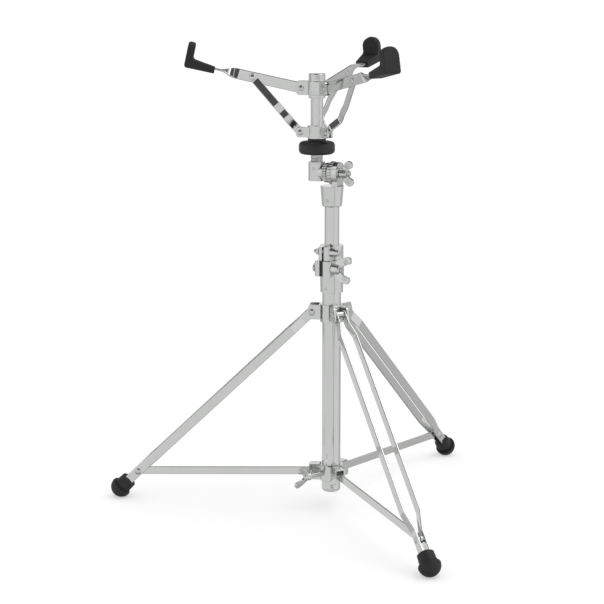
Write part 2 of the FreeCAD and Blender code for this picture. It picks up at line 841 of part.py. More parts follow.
def make_leg_hub():
    bottom = f"{LEG_PIVOT_HEIGHT} - leg_hub_below_pivot"
    top = f"{bottom} + leg_hub_height"
    body = ring_body("LegHub", "main_tube_radius + fit_gap", LEG_HUB_RADIUS, bottom, top)
    root = "main_tube_radius + leg_hub_wall / 2"
    ear_low = f"{LEG_PIVOT_HEIGHT} - leg_hub_ear_height / 2"
    ear_high = f"{LEG_PIVOT_HEIGHT} + leg_hub_ear_height / 2"
    low_reach = f"{LEG_PIVOT_RADIUS} + leg_hub_ear_low_margin"
    sketch = new_sketch(body, "XZ_Plane")
    ear = [
        (root, ear_low),
        (low_reach, ear_low, "leg_hub_ear_round"),
        (f"{LEG_PIVOT_RADIUS} + leg_hub_ear_top_margin", ear_high, "leg_hub_ear_round"),
        (root, ear_high),
    ]
    draw_loop(sketch, ear)
    ears = pad(body, sketch, 2 * ear_inner_half() + size("2 * leg_hub_ear_thick"), symmetric=True)
    sketch = new_sketch(body, "XZ_Plane")
    draw_box(
        sketch,
        f"{LEG_HUB_RADIUS} + leg_hub_slot_wall",
        f"{ear_low} - cut_overrun",
        f"{low_reach} + cut_overrun",
        f"{ear_high} + cut_overrun",
    )
    slot = pocket(body, sketch, 2 * ear_inner_half(), symmetric=True)
    sketch = new_sketch(body, "XZ_Plane")
    draw_circle(sketch, LEG_PIVOT_RADIUS, LEG_PIVOT_HEIGHT, "leg_rivet_radius + fit_gap")
    holes = pocket(body, sketch, symmetric=True)
    repeat_round(body, [ears, slot, holes], LEG_COUNT)
    body.Placement = turned_about_z(leg_azimuth(0))
    between_legs = leg_azimuth(0) - FULL_TURN / LEG_COUNT / 2
    screw = radial_frame(Placement(), LEG_PIVOT_HEIGHT, between_legs)
    way = cylinder("HubScrewWay", "leg_hub_screw_radius", LEG_HUB_RADIUS, screw)
    node(cut("LegHubDrilled", body, way), "leg_hub")
    grub_screw("leg_hub_screw", "leg_hub_screw_radius", "main_tube_radius + fit_gap", LEG_HUB_RADIUS, screw)


def make_leg_hub_rivets():
    rivets = []
    head = ("leg_rivet_head_radius", "leg_rivet_dome")
    for index in range(LEG_COUNT):
        hub = turned_about_z(leg_azimuth(index))
        for side in (1, -1):
            lateral = side * ear_inner_half()
            turn = -side * QUARTER_TURN
            seat = shifted(hub, LEG_PIVOT_RADIUS, lateral, LEG_PIVOT_HEIGHT, X_AXIS, turn)
            rivets.append(headed_pin("EarRivet", "leg_rivet_radius", "leg_hub_ear_thick", *head, seat))
    node(group("EarRivets", rivets), "leg_hub_rivets")


# Legs and feet
def joggled_outline(stations, thick):
    """A bent strip's outline through stations (along, aside), thick across."""
    half = size(thick) / 2
    inner = [(size(x), size(y) - half) for x, y in stations]
    outer = [(size(x), size(y) + half) for x, y in stations]
    return inner + outer[::-1]


def make_bar(name, side):
    """One bar of a leg: joggled from the hub's ears to its full spacing and in again to the foot."""
    radius = size("leg_bar_width / 2")
    top, middle, foot = (side * size(f"leg_bar{part}_spacing / 2") for part in ("_top", "", "_foot"))
    foot_joggle_end = brace_reach() - size("leg_foot_joggle_lead")
    stations = [
        (-radius, top),
        ("leg_top_joggle_start", top),
        ("leg_top_joggle_start + leg_top_joggle", middle),
        (foot_joggle_end - size("leg_foot_joggle"), middle),
        (foot_joggle_end, foot),
        (leg_length() - size("leg_bar_above_ball"), foot),
    ]
    body = new_body(name)
    sketch = new_sketch(body, "XY_Plane")
    draw_loop(sketch, joggled_outline(stations, "leg_bar_thick"))
    pad(body, sketch, "leg_bar_width", symmetric=True)
    sketch = new_sketch(body, "XZ_Plane")
    draw_loop(sketch, round_end(0.0, radius, -1))
    draw_circle(sketch, brace_reach(), 0, "leg_rivet_radius + fit_gap")
    pocket(body, sketch, symmetric=True)
    sketch = new_sketch(body, "XZ_Plane")
    draw_circle(sketch, 0, 0, "leg_rivet_radius + fit_gap")
    pocket(body, sketch, symmetric=True)
    return body


def make_leg(number, frame):
    bars = [make_bar(f"Leg{number}Bar", side) for side in (1, -1)]
    for bar in bars:
        bar.Placement = frame
    node(group(f"Leg{number}Bars", bars), f"leg_{number}_bars")

    inner = size("(leg_bar_top_spacing - leg_bar_thick) / 2")
    outer = size("(leg_bar_top_spacing + leg_bar_thick) / 2")
    sleeve = [
        (0, -outer),
        ("leg_rivet_radius", -outer),
        ("leg_rivet_radius", -inner),
        ("leg_pivot_sleeve_radius", -inner),
        ("leg_pivot_sleeve_radius", inner),
        ("leg_rivet_radius", inner),
        ("leg_rivet_radius", outer),
        (0, outer),
    ]
    node(turned_body(f"Leg{number}Pivot", sleeve), f"leg_{number}_pivot", across(frame, 0, 0))

    brace_side = size("brace_thick / 2 + running_gap")
    inner = size("(leg_bar_foot_spacing - leg_bar_thick) / 2")
    outer = size("(leg_bar_foot_spacing + leg_bar_thick) / 2")
    half = [
        ("leg_rivet_radius", brace_side),
        ("leg_rivet_shoulder_radius", brace_side),
        ("leg_rivet_shoulder_radius", inner),
        ("leg_rivet_radius", inner),
        ("leg_rivet_radius", outer),
    ]
    corners = mirrored_dome("leg_rivet_dome", "leg_rivet_head_radius", outer)
    corners += [(x, -y) for x, y in half[::-1]]
    corners += half
    corners += dome("leg_rivet_dome", "leg_rivet_head_radius", outer)
    rivet = turned_body(f"Leg{number}Rivet", corners)
    node(rivet, f"leg_{number}_rivet", across(frame, brace_reach(), 0))


def make_foot(number, frame):
    """A rubber boot on the ends of the two bars, with a ball that the floor presses flat."""
    ball = leg_length()
    radius = size("foot_ball_radius")
    top = ball - size("foot_sleeve_above_ball")
    shoulder = ball - size("foot_shoulder")
    shoulder_radius = math.sqrt(radius ** 2 - size("foot_shoulder") ** 2)
    bend = radius / math.sqrt(2)
    corners = [
        (top, 0),
        (top, "foot_mouth_radius", "foot_mouth_round"),
        (shoulder, "foot_sleeve_radius"),
        (shoulder, shoulder_radius),
        (ball + radius, 0, ball + bend, bend),
    ]
    body = turned_body(f"Foot{number}Boot", corners, "H_Axis")
    body.Placement = frame
    wide = size("leg_bar_foot_spacing + leg_bar_thick + 2 * fit_gap")
    tall = size("leg_bar_width + 2 * fit_gap")
    depth = "foot_sleeve_above_ball - leg_bar_above_ball + fit_gap + cut_overrun"
    start = shifted(frame, top - size("cut_overrun"), -wide / 2, -tall / 2)
    hollow = cut(f"Foot{number}Hollow", body, block(f"Foot{number}Socket", depth, wide, tall, start))
    reach = size("foot_spread + 2 * foot_ball_radius")
    corner = Placement(Vector(-reach, -reach, -radius), Rotation())
    floor = block(f"Foot{number}Floor", 2 * reach, 2 * reach, "foot_ball_radius", corner)
    node(cut(f"Foot{number}", hollow, floor), f"foot_{number}")


# Braces and their sliding hub
def make_brace(number, frame):
    body = new_body(f"Brace{number}")
    length = math.hypot(*brace_span())
    sketch = new_sketch(body, "XZ_Plane")
    draw_loop(sketch, stadium(length, "brace_width / 2"))
    draw_circle(sketch, 0, 0, "brace_pin_radius + fit_gap")
    draw_circle(sketch, length, 0, "leg_rivet_radius + fit_gap")
    pad(body, sketch, "brace_thick", symmetric=True)
    node(body, f"brace_{number}", frame)


def make_brace_hub():
    top = f"{BRACE_HUB_BOTTOM} + brace_hub_height"
    body = ring_body("BraceHub", "main_tube_radius + running_gap", BRACE_HUB_RADIUS, BRACE_HUB_BOTTOM, top)
    root = "main_tube_radius + brace_hub_wall / 2"
    reach = f"{BRACE_PIVOT_RADIUS} + brace_hub_arm_margin"
    low = "-brace_hub_arm_width / 2"
    high = "brace_hub_arm_width / 2"
    rounding = "brace_hub_arm_round"
    sketch = new_sketch(body, "XY_Plane", BRACE_HUB_BOTTOM)
    draw_loop(sketch, [(root, low), (reach, low, rounding), (reach, high, rounding), (root, high)])
    arms = pad(body, sketch, "brace_hub_height")
    sketch = new_sketch(body, "XZ_Plane")
    slot_start = f"{BRACE_PIVOT_RADIUS} - brace_width / 2 - 2 * running_gap"
    slot_bottom = f"{BRACE_HUB_BOTTOM} - cut_overrun"
    draw_box(sketch, slot_start, slot_bottom, f"{reach} + cut_overrun", f"{top} + cut_overrun")
    slot = pocket(body, sketch, "brace_thick + 2 * running_gap", symmetric=True)
    sketch = new_sketch(body, "XZ_Plane")
    draw_circle(sketch, BRACE_PIVOT_RADIUS, "brace_pivot_height", "brace_pin_radius + fit_gap")
    holes = pocket(body, sketch, "brace_hub_arm_width + cut_overrun", symmetric=True)
    repeat_round(body, [arms, slot, holes], LEG_COUNT)
    body.Placement = turned_about_z(leg_azimuth(0))
    depth = f"{BRACE_HUB_RADIUS} + cut_overrun"
    way = cylinder("TripodBoltWay", "tripod_bolt_radius + fit_gap", depth, tripod_bolt_frame())
    node(cut("BraceHubDrilled", body, way), "brace_hub")
    pins = []
    head = ("brace_pin_head_radius", "brace_pin_dome")
    for index in range(LEG_COUNT):
        seat = across(turned_about_z(leg_azimuth(index)), BRACE_PIVOT_RADIUS, "brace_pivot_height")
        pins.append(double_headed_pin("BracePin", "brace_pin_radius", "brace_hub_arm_width", *head, seat))
    node(group("BracePins", pins), "brace_hub_pins")


def tripod_bolt_frame():
    """Z along the wing bolt, out of the brace hub."""
    return radial_frame(Placement(), "brace_pivot_height", size("tripod_bolt_azimuth"))


def make_tripod_wing_bolt():
    """A wing bolt whose tip stops just short of the tube and whose wings stand clear of the hub."""
    tip = size("main_tube_radius + running_gap")
    seat = size(f"{BRACE_HUB_RADIUS} + tripod_bolt_stub") - tip
    collar = seat + size("tripod_bolt_collar_length")
    corners = [
        (0, 0),
        ("tripod_bolt_radius", 0),
        ("tripod_bolt_radius", seat),
        ("tripod_bolt_collar_radius", seat),
        ("tripod_bolt_collar_radius", collar, "tripod_bolt_collar_radius * edge_round_share"),
        (0, collar),
    ]
    body = turned_body("TripodWingBolt", corners)
    add_wings(body, "tripod_wing", collar - size("tripod_wing_root"))
    placement = shifted(tripod_bolt_frame(), 0, 0, tip, Z_AXIS, size("tripod_wing_turn"))
    node(body, "tripod_wing_bolt", placement)


# Split collars of the height adjustment
def add_lugs(body, name, bottom, reach, bore):
    """Two lugs with a split between them, opened to the collar's bore."""
    left = f"-{name}_lug_left"
    right = f"{name}_lug_right"
    end = f"-{reach}"
    rounding = f"{name}_lug_round"
    height = f"{name}_height"
    cut_height = f"{height} + cut_overrun"
    sketch = new_sketch(body, "XY_Plane", bottom)
    draw_loop(sketch, [(left, 0), (left, end, rounding), (right, end, rounding), (right, 0)])
    pad(body, sketch, height)
    sketch = new_sketch(body, "XY_Plane", bottom)
    draw_circle(sketch, 0, 0, bore)
    pocket(body, sketch, cut_height, backward=True)
    sketch = new_sketch(body, "XY_Plane", bottom)
    draw_box(sketch, f"-{name}_split / 2", f"{end} - cut_overrun", f"{name}_split / 2", 0)
    pocket(body, sketch, cut_height, backward=True)


def make_height_clamp():
    bore = "main_tube_radius + fit_gap"
    bush_bore = f"{CLAMP_BUSH_RADIUS} + fit_gap"
    shelf = f"{MAIN_TOP} + running_gap"
    casting = [
        (bore, CLAMP_SKIRT_BOTTOM),
        ("main_tube_radius + clamp_skirt_wall", CLAMP_SKIRT_BOTTOM),
        ("main_tube_radius + clamp_waist_wall", CLAMP_BOTTOM),
        (CLAMP_RADIUS, CLAMP_BOTTOM),
        (CLAMP_RADIUS, CLAMP_TOP),
        (bush_bore, CLAMP_TOP),
        (bush_bore, shelf),
        (bore, shelf),
    ]
    body = turned_body("HeightClamp", casting)
    add_lugs(body, "clamp", CLAMP_BOTTOM, CLAMP_LUG_REACH, bush_bore)
    bore_along_x(body, CLAMP_BOLT_REACH, CLAMP_BOLT_HEIGHT, "clamp_bolt_radius + fit_gap")
    body.Placement = clamp_frame()
    screw = radial_frame(clamp_frame(), f"{CLAMP_SKIRT_BOTTOM} + clamp_screw_rise", -QUARTER_TURN)
    way = cylinder("ClampScrewWay", "clamp_screw_radius", CLAMP_RADIUS, screw)
    node(cut("HeightClampDrilled", body, way), "height_clamp")
    grub_screw("clamp_screw", "clamp_screw_radius", bore, "main_tube_radius + clamp_skirt_wall", screw)


def make_clamp_bush():
    """A plastic bush round the upper tube, with a key that fills the clamp's split."""
    bottom = f"{MAIN_TOP} + 2 * running_gap"
    body = ring_body("ClampBush", "upper_tube_radius + fit_gap", CLAMP_BUSH_RADIUS, bottom, CLAMP_TOP)
    half = "clamp_split / 2 - running_gap"
    root = "-(upper_tube_radius + clamp_bush_wall / 2)"
    sketch = new_sketch(body, "XY_Plane", f"{CLAMP_BOTTOM} + running_gap")
    draw_box(sketch, f"-({half})", f"2 * running_gap - {CLAMP_LUG_REACH}", half, root)
    pad(body, sketch, "clamp_height - running_gap")
    bore_along_x(body, CLAMP_BOLT_REACH, CLAMP_BOLT_HEIGHT, "clamp_bolt_radius + fit_gap")
    node(body, "clamp_bush", clamp_frame())


def clamp_bolt_frame(x):
    """Z along the clamp bolt."""
    return shifted(clamp_frame(), x, f"-{CLAMP_BOLT_REACH}", CLAMP_BOLT_HEIGHT, Y_AXIS, QUARTER_TURN)


def make_clamp_bolt():
    head = "clamp_bolt_head_height"
    length = f"{head} + clamp_lug_left + clamp_lug_right + clamp_bolt_stub"
    corners = [
        (0, 0),
        ("clamp_bolt_head_radius", 0, f"{head} * edge_round_share"),
        ("clamp_bolt_head_radius", head),
        ("clamp_bolt_radius", head),
        ("clamp_bolt_radius", length),
        (0, length),
    ]
    body = turned_body("ClampBolt", corners)
    node(body, "clamp_bolt", clamp_bolt_frame(f"-clamp_lug_left - {head}"))


def make_clamp_wing_nut():
    body = wing_nut("ClampWingNut", "clamp_nut", "clamp_wing", "clamp_bolt_radius + fit_gap")
    seat = clamp_bolt_frame("clamp_lug_right + running_gap")
    node(body, "clamp_wing_nut", shifted(seat, 0, 0, 0, Z_AXIS, size("clamp_wing_turn")))


def make_upper_tube():
    length = "upper_tube_insertion + upper_tube_rise"
    base = Placement(Vector(0, 0, size(UPPER_BOTTOM)), Rotation())
    outside = cylinder("UpperTubeOutside", "upper_tube_radius", length, base)
    bore = cylinder("UpperTubeBore", "upper_tube_radius - upper_tube_wall", length, base)
    node(cut("UpperTube", outside, bore), "upper_tube")


def make_upper_tube_guide():
    """A plug that turns in the upper tube's end and runs in the main tube's bore."""
    flange = f"{MAIN_BORE} - 2 * fit_gap"
    plug = "upper_tube_radius - upper_tube_wall - fit_gap"
    seat = f"{UPPER_BOTTOM} - running_gap"
    corners = [
        (0, f"{seat} - guide_flange_height"),
        (flange, f"{seat} - guide_flange_height"),
        (flange, seat),
        (plug, seat),
        (plug, f"{UPPER_BOTTOM} + guide_plug_depth"),
        (0, f"{UPPER_BOTTOM} + guide_plug_depth"),
    ]
    node(turned_body("UpperTubeGuide", corners), "upper_tube_guide")


def make_memory_lock():
    bore = "upper_tube_radius + fit_gap"
    body = ring_body("MemoryLock", bore, LOCK_RADIUS, LOCK_BOTTOM, f"{LOCK_BOTTOM} + lock_height")
    add_lugs(body, "lock", LOCK_BOTTOM, f"({LOCK_RADIUS} + lock_lug_length)", bore)
    bore_along_x(body, LOCK_SCREW_REACH, LOCK_SCREW_HEIGHT, "lock_screw_radius + fit_gap")
    node(body, "memory_lock", clamp_frame())


def lock_screw_frame(x):
    """Z along the memory lock's screw."""
    return shifted(clamp_frame(), x, f"-{LOCK_SCREW_REACH}", LOCK_SCREW_HEIGHT, Y_AXIS, QUARTER_TURN)


def make_lock_screw():
    """A thumb screw with a conical head, and the square nut on its far end."""
    far_end = "lock_lug_left + lock_nut_height + lock_screw_stub"
    shank = f"{far_end} + lock_lug_right + running_gap"
    top = f"{shank} + lock_head_length"
    corners = [
        (0, 0),
        ("lock_screw_radius", 0),
        ("lock_screw_radius", shank),
        ("lock_head_radius", shank),
        ("lock_head_neck_radius", top, "lock_head_neck_radius * edge_round_share"),
        (0, top),
    ]
    node(turned_body("LockScrew", corners), "memory_lock_screw", lock_screw_frame(f"-({far_end})"))
    nut = new_body("LockNut")
    sketch = new_sketch(nut, "XY_Plane")
    half = "lock_nut_across / 2"
    draw_box(sketch, f"-{half}", f"-{half}", half, half)
    draw_circle(sketch, 0, 0, "lock_screw_radius + fit_gap")
    pad(nut, sketch, "lock_nut_height")
    node(nut, "memory_lock_nut", lock_screw_frame("-lock_lug_left - lock_nut_height"))


# Tilter
def make_tilter_base():
    bore = "upper_tube_radius + fit_gap"
    ceiling = f"{UPPER_TOP} + running_gap"
    cone = [
        (bore, SOCKET_BOTTOM),
        (f"{SOCKET_BOTTOM_RADIUS} - socket_chamfer", SOCKET_BOTTOM),
        (SOCKET_BOTTOM_RADIUS, f"{SOCKET_BOTTOM} + socket_chamfer"),
        (SOCKET_TOP_RADIUS, SOCKET_TOP),
        (0, SOCKET_TOP),
        (0, ceiling),
        (bore, ceiling),
    ]
    body = turned_body("TilterBase", cone)
    sketch = new_sketch(body, "YZ_Plane", TILT_LUG_FACE)
    draw_box(sketch, "-tilt_lug_neck / 2", f"{UPPER_TOP} + socket_cap / 2", "tilt_lug_neck / 2", TILT_HEIGHT)
    pad(body, sketch, "tilt_lug_thick")
    sketch = new_sketch(body, "YZ_Plane", TILT_LUG_FACE)
    draw_circle(sketch, 0, TILT_HEIGHT, "tilt_disc_radius")
    pad(body, sketch, "tilt_lug_thick")
    sketch = new_sketch(body, "YZ_Plane")
    draw_circle(sketch, 0, TILT_HEIGHT, "tilt_stud_radius + fit_gap")
    pocket(body, sketch, symmetric=True)
    body.Placement = tilt_frame()
    screw = radial_frame(tilt_frame(), f"{SOCKET_BOTTOM} + socket_screw_rise", -QUARTER_TURN)
    way = cylinder("SocketScrewWay", "socket_screw_radius", SOCKET_TOP_RADIUS, screw)
    node(cut("TilterBaseDrilled", body, way), "tilter_base")
    grub_screw("tilter_base_screw", "socket_screw_radius", bore, SOCKET_BOTTOM_RADIUS, screw)


def make_tilter_head():
    """A housing for the post, and a disc that the tilt stud draws against the socket's lug."""
    body = new_body("TilterHead")
    sketch = new_sketch(body, "XY_Plane", HEAD_BOTTOM)
    draw_circle(sketch, "-post_offset", 0, HEAD_RADIUS)
    pad(body, sketch, "head_below_axis + head_above_axis")
    sketch = new_sketch(body, "YZ_Plane", "-post_offset")
    draw_circle(sketch, 0, TILT_HEIGHT, "head_boss_radius")
    pad(body, sketch, f"post_offset + {TILT_HEAD_FACE}")
    sketch = new_sketch(body, "YZ_Plane", f"{TILT_HEAD_FACE} - tilt_head_disc_thick")
    draw_circle(sketch, 0, TILT_HEIGHT, "tilt_disc_radius")
    pad(body, sketch, "tilt_head_disc_thick")
    sketch = new_sketch(body, "XY_Plane", f"{HEAD_BOTTOM} + head_floor")
    draw_circle(sketch, "-post_offset", 0, "post_radius + fit_gap")
    pocket(body, sketch, backward=True)
    sketch = new_sketch(body, "YZ_Plane", TILT_HEAD_FACE)
    draw_circle(sketch, 0, TILT_HEIGHT, "tilt_stud_radius + fit_gap")
    pocket(body, sketch, "tilt_stud_depth")
    sketch = new_sketch(body, "XZ_Plane")
    draw_circle(sketch, "-post_offset", POST_PIN_HEIGHT, "post_pin_radius + fit_gap")
    pocket(body, sketch, symmetric=True)
    node(body, "tilter_head", tilt_frame())


def tilt_axis_frame(x):
    """Z along the tilt axis."""
    return shifted(tilt_frame(), x, 0, TILT_HEIGHT, Y_AXIS, QUARTER_TURN)


def make_tilt_stud():
    start = f"{TILT_HEAD_FACE} - tilt_stud_depth + fit_gap"
    length = f"{TILT_NUT_SEAT} + tilt_nut_height + tilt_stud_stub - ({start})"
    node(cylinder("TiltStud", "tilt_stud_radius", length, tilt_axis_frame(start)), "tilt_stud")


def make_tilt_wing_nut():
    body = wing_nut("TiltWingNut", "tilt_nut", "tilt_wing", "tilt_stud_radius + fit_gap")
    seat = tilt_axis_frame(TILT_NUT_SEAT)
    node(body, "tilt_wing_nut", shifted(seat, 0, 0, 0, Z_AXIS, size("tilt_wing_turn")))


# Basket
def make_post():
    bottom = f"({HEAD_BOTTOM} + head_floor + fit_gap)"
    base = shifted(basket_frame(), 0, 0, bottom)
    rod = cylinder("PostRod", "post_radius", f"{POST_TOP} - {bottom}", base)
    pin_frame = across(tilt_frame(), "-post_offset", POST_PIN_HEIGHT, f"-{HEAD_RADIUS}")
    way = cylinder("PostPinWay", "post_pin_radius + fit_gap", f"2 * {HEAD_RADIUS}", pin_frame)
    node(cut("Post", rod, way), "basket_post")
    node(cylinder("PostPin", "post_pin_radius", f"2 * {HEAD_RADIUS}", pin_frame), "post_pin")


def add_ears(body, ear, root, pivot_radius, pivot_height, arm, offset=None):
    """A pair of ears about one arm or strut, with a slot between them and a pin hole across them."""
    reach = f"{pivot_radius} + {ear}_margin"
    low = f"{pivot_height} - {ear}_half_height"
    high = f"{pivot_height} + {ear}_half_height"
    rounding = f"{ear}_round"
    gap = f"{arm}_thick + 2 * running_gap"
    width = f"{gap} + 2 * {ear}_thick"
    sketch = new_sketch(body, "XZ_Plane", offset)
    draw_loop(sketch, [(root, low), (reach, low, rounding), (reach, high, rounding), (root, high)])
    ears = pad(body, sketch, width, symmetric=True)
    sketch = new_sketch(body, "XZ_Plane", offset)
    slot_start = f"{pivot_radius} - {arm}_width / 2 - 2 * running_gap"
    draw_box(sketch, slot_start, f"{low} - cut_overrun", f"{reach} + cut_overrun", f"{high} + cut_overrun")
    slot = pocket(body, sketch, gap, symmetric=True)
    sketch = new_sketch(body, "XZ_Plane", offset)
    draw_circle(sketch, pivot_radius, pivot_height, "basket_pin_radius + fit_gap")
    hole = pocket(body, sketch, f"{width} + cut_overrun", symmetric=True)
    repeat_round(body, [ears, slot, hole], ARM_COUNT)


def ear_pins(label, ear, pivot_radius, pivot_height, arm, lateral):
    """The pins across one collar's ears."""
    width = f"{arm}_thick + 2 * running_gap + 2 * {ear}_thick"
    head = ("basket_pin_head_radius", "basket_pin_dome")
    pins = []
    for index in range(ARM_COUNT):
        seat = across(basket_frame(index), pivot_radius, pivot_height, lateral)
        pins.append(double_headed_pin("EarPin", "basket_pin_radius", width, *head, seat))
    node(group("EarPins", pins), label)


def make_crown():
    bore = "post_radius + fit_gap"
    cap = f"{POST_TOP} + fit_gap"
    bottom = f"{CROWN_TOP} - crown_height"
    sleeve = [
        (bore, bottom),
        (CROWN_RADIUS, bottom),
        (CROWN_RADIUS, CROWN_TOP, "crown_round"),
        (0, CROWN_TOP),
        (0, cap),
        (bore, cap),
    ]
    body = turned_body("Crown", sleeve)
    root = "post_radius + crown_wall / 2"
    add_ears(body, "crown_ear", root, ARM_PIVOT_RADIUS, ARM_PIVOT_HEIGHT, "arm")
    body.Placement = basket_frame()
    screw = radial_frame(basket_frame(), f"{CROWN_TOP} - crown_screw_drop", QUARTER_TURN)
    way = cylinder("CrownScrewWay", "crown_screw_radius", CROWN_RADIUS, screw)
    node(cut("CrownDrilled", body, way), "basket_crown")
    grub_screw("crown_set_screw", "crown_screw_radius", bore, CROWN_RADIUS, screw)
    ear_pins("crown_pins", "crown_ear", ARM_PIVOT_RADIUS, ARM_PIVOT_HEIGHT, "arm", 0.0)


def make_slider():
    top = f"{SLIDER_BOTTOM} + slider_height"
    body = ring_body("Slider", "post_radius + running_gap", SLIDER_RADIUS, SLIDER_BOTTOM, top)
    root = "post_radius + slider_wall / 2"
    pivot = (STRUT_PIVOT_RADIUS, STRUT_PIVOT_HEIGHT)
    add_ears(body, "slider_ear", root, *pivot, "strut", f"-{STRUT_LATERAL}")
    node(body, "basket_slider", basket_frame())
    ear_pins("slider_pins", "slider_ear", *pivot, "strut", STRUT_LATERAL)


def make_handwheel():
    """A black wheel with a threaded insert, under the slider."""
    hole = f"{INSERT_RADIUS} + fit_gap"
    neck = f"{INSERT_RADIUS} + handwheel_neck_wall"
    rim = [
        (hole, HANDWHEEL_BOTTOM),
        ("handwheel_radius", HANDWHEEL_BOTTOM, "handwheel_round"),
        ("handwheel_radius", HANDWHEEL_TOP, "handwheel_round"),
        (neck, HANDWHEEL_TOP),
        (neck, HANDWHEEL_NECK_TOP),
        (hole, HANDWHEEL_NECK_TOP),
    ]
    node(turned_body("Handwheel", rim), "handwheel", basket_frame())
    insert = ring_body(
        "HandwheelInsert", "post_radius + fit_gap", INSERT_RADIUS, HANDWHEEL_BOTTOM, HANDWHEEL_NECK_TOP
    )
    node(insert, "handwheel_insert", basket_frame())


def twisted_bar(frame):
    """The stretch of an arm that turns from standing on edge to lying flat."""
    half_width = size("arm_width / 2")
    half_thick = size("arm_thick / 2")
    signs = [(1, 1), (1, -1), (-1, -1), (-1, 1), (1, 1)]
    sections = []
    for step in range(TWIST_STEPS + 1):
        turned_share = step / TWIST_STEPS
        turn = Rotation(X_AXIS, QUARTER_TURN * turned_share)
        along = Vector(size(ARM_TWIST_START) + turned_share * size("arm_twist"), 0, 0)
        corners = [turn.multVec(Vector(0, half_thick * a, half_width * b)) + along for a, b in signs]
        sections.append(Part.makePolygon(corners))
    item = doc.addObject("Part::Feature", "ArmTwist")
    item.Shape = Part.makeLoft(sections, True, True)
    item.Placement = frame
    return item


def make_arm(number, frame):
    radius = size("arm_width / 2")
    half_thick = size("arm_thick / 2")
    body = new_body(f"Arm{number}Bar")
    sketch = new_sketch(body, "XZ_Plane")
    end = ARM_TWIST_START
    draw_loop(sketch, [(end, -radius), (end, radius), (0, radius), (0, -radius, -radius, 0)])
    draw_circle(sketch, 0, 0, "basket_pin_radius + fit_gap")
    draw_circle(sketch, "arm_rivet_reach", 0, "arm_rivet_radius + fit_gap")
    pad(body, sketch, "arm_thick", symmetric=True)
    body.Placement = frame
    flat_start = shifted(frame, ARM_TWIST_END, -radius, -half_thick)
    flat_length = "arm_flat_bare + tip_length"
    flat = block(f"Arm{number}Flat", flat_length, "arm_width", "arm_thick", flat_start)
    upturn_start = shifted(frame, f"{ARM_UPTURN_REACH} - arm_thick", -radius, -half_thick)
    upturn_height = "arm_upturn + arm_thick / 2"
    upturn = block(f"Arm{number}Upturn", "arm_thick", "arm_width", upturn_height, upturn_start)
    node(fuse(f"Arm{number}", [body, twisted_bar(frame), flat, upturn]), f"arm_{number}")
    seat = shifted(frame, "arm_rivet_reach", half_thick, 0, X_AXIS, QUARTER_TURN)
    head = ("arm_rivet_head_radius", "arm_rivet_dome")
    rivet = headed_pin(f"Arm{number}Rivet", "arm_rivet_radius", "arm_thick", *head, seat)
    node(rivet, f"arm_{number}_rivet")


def make_strut(number, frame):
    """A flat strut that bows sideways past the crown's ears, with its rivet's outer half."""
    length = math.hypot(*strut_span())
    radius = size("strut_width / 2")
    stations = [
        (-radius, STRUT_LATERAL),
        ("strut_bow_start", STRUT_LATERAL),
        ("strut_bow_full", "strut_bow"),
        ("strut_bow_leave", "strut_bow"),
        ("strut_bow_end", STRUT_LATERAL),
        (length + radius, STRUT_LATERAL),
    ]
    body = new_body(f"Strut{number}Bar")
    sketch = new_sketch(body, "XY_Plane")
    draw_loop(sketch, joggled_outline(stations, "strut_thick"))
    pad(body, sketch, "strut_width", symmetric=True)
    for centre, way in ((0.0, -1), (length, 1)):
        sketch = new_sketch(body, "XZ_Plane")
        draw_loop(sketch, round_end(centre, radius, way))
        pocket(body, sketch, symmetric=True)
    sketch = new_sketch(body, "XZ_Plane")
    draw_circle(sketch, 0, 0, "basket_pin_radius + fit_gap")
    pocket(body, sketch, symmetric=True)
    body.Placement = frame
    head = turned_body(f"Strut{number}Head", [(0, 0)] + dome("arm_rivet_dome", "arm_rivet_head_radius", 0.0))
    head.Placement = shifted(frame, length, f"{STRUT_LATERAL} + strut_thick / 2", 0, X_AXIS, -QUARTER_TURN)
    node(fuse(f"Strut{number}", [body, head]), f"strut_{number}")


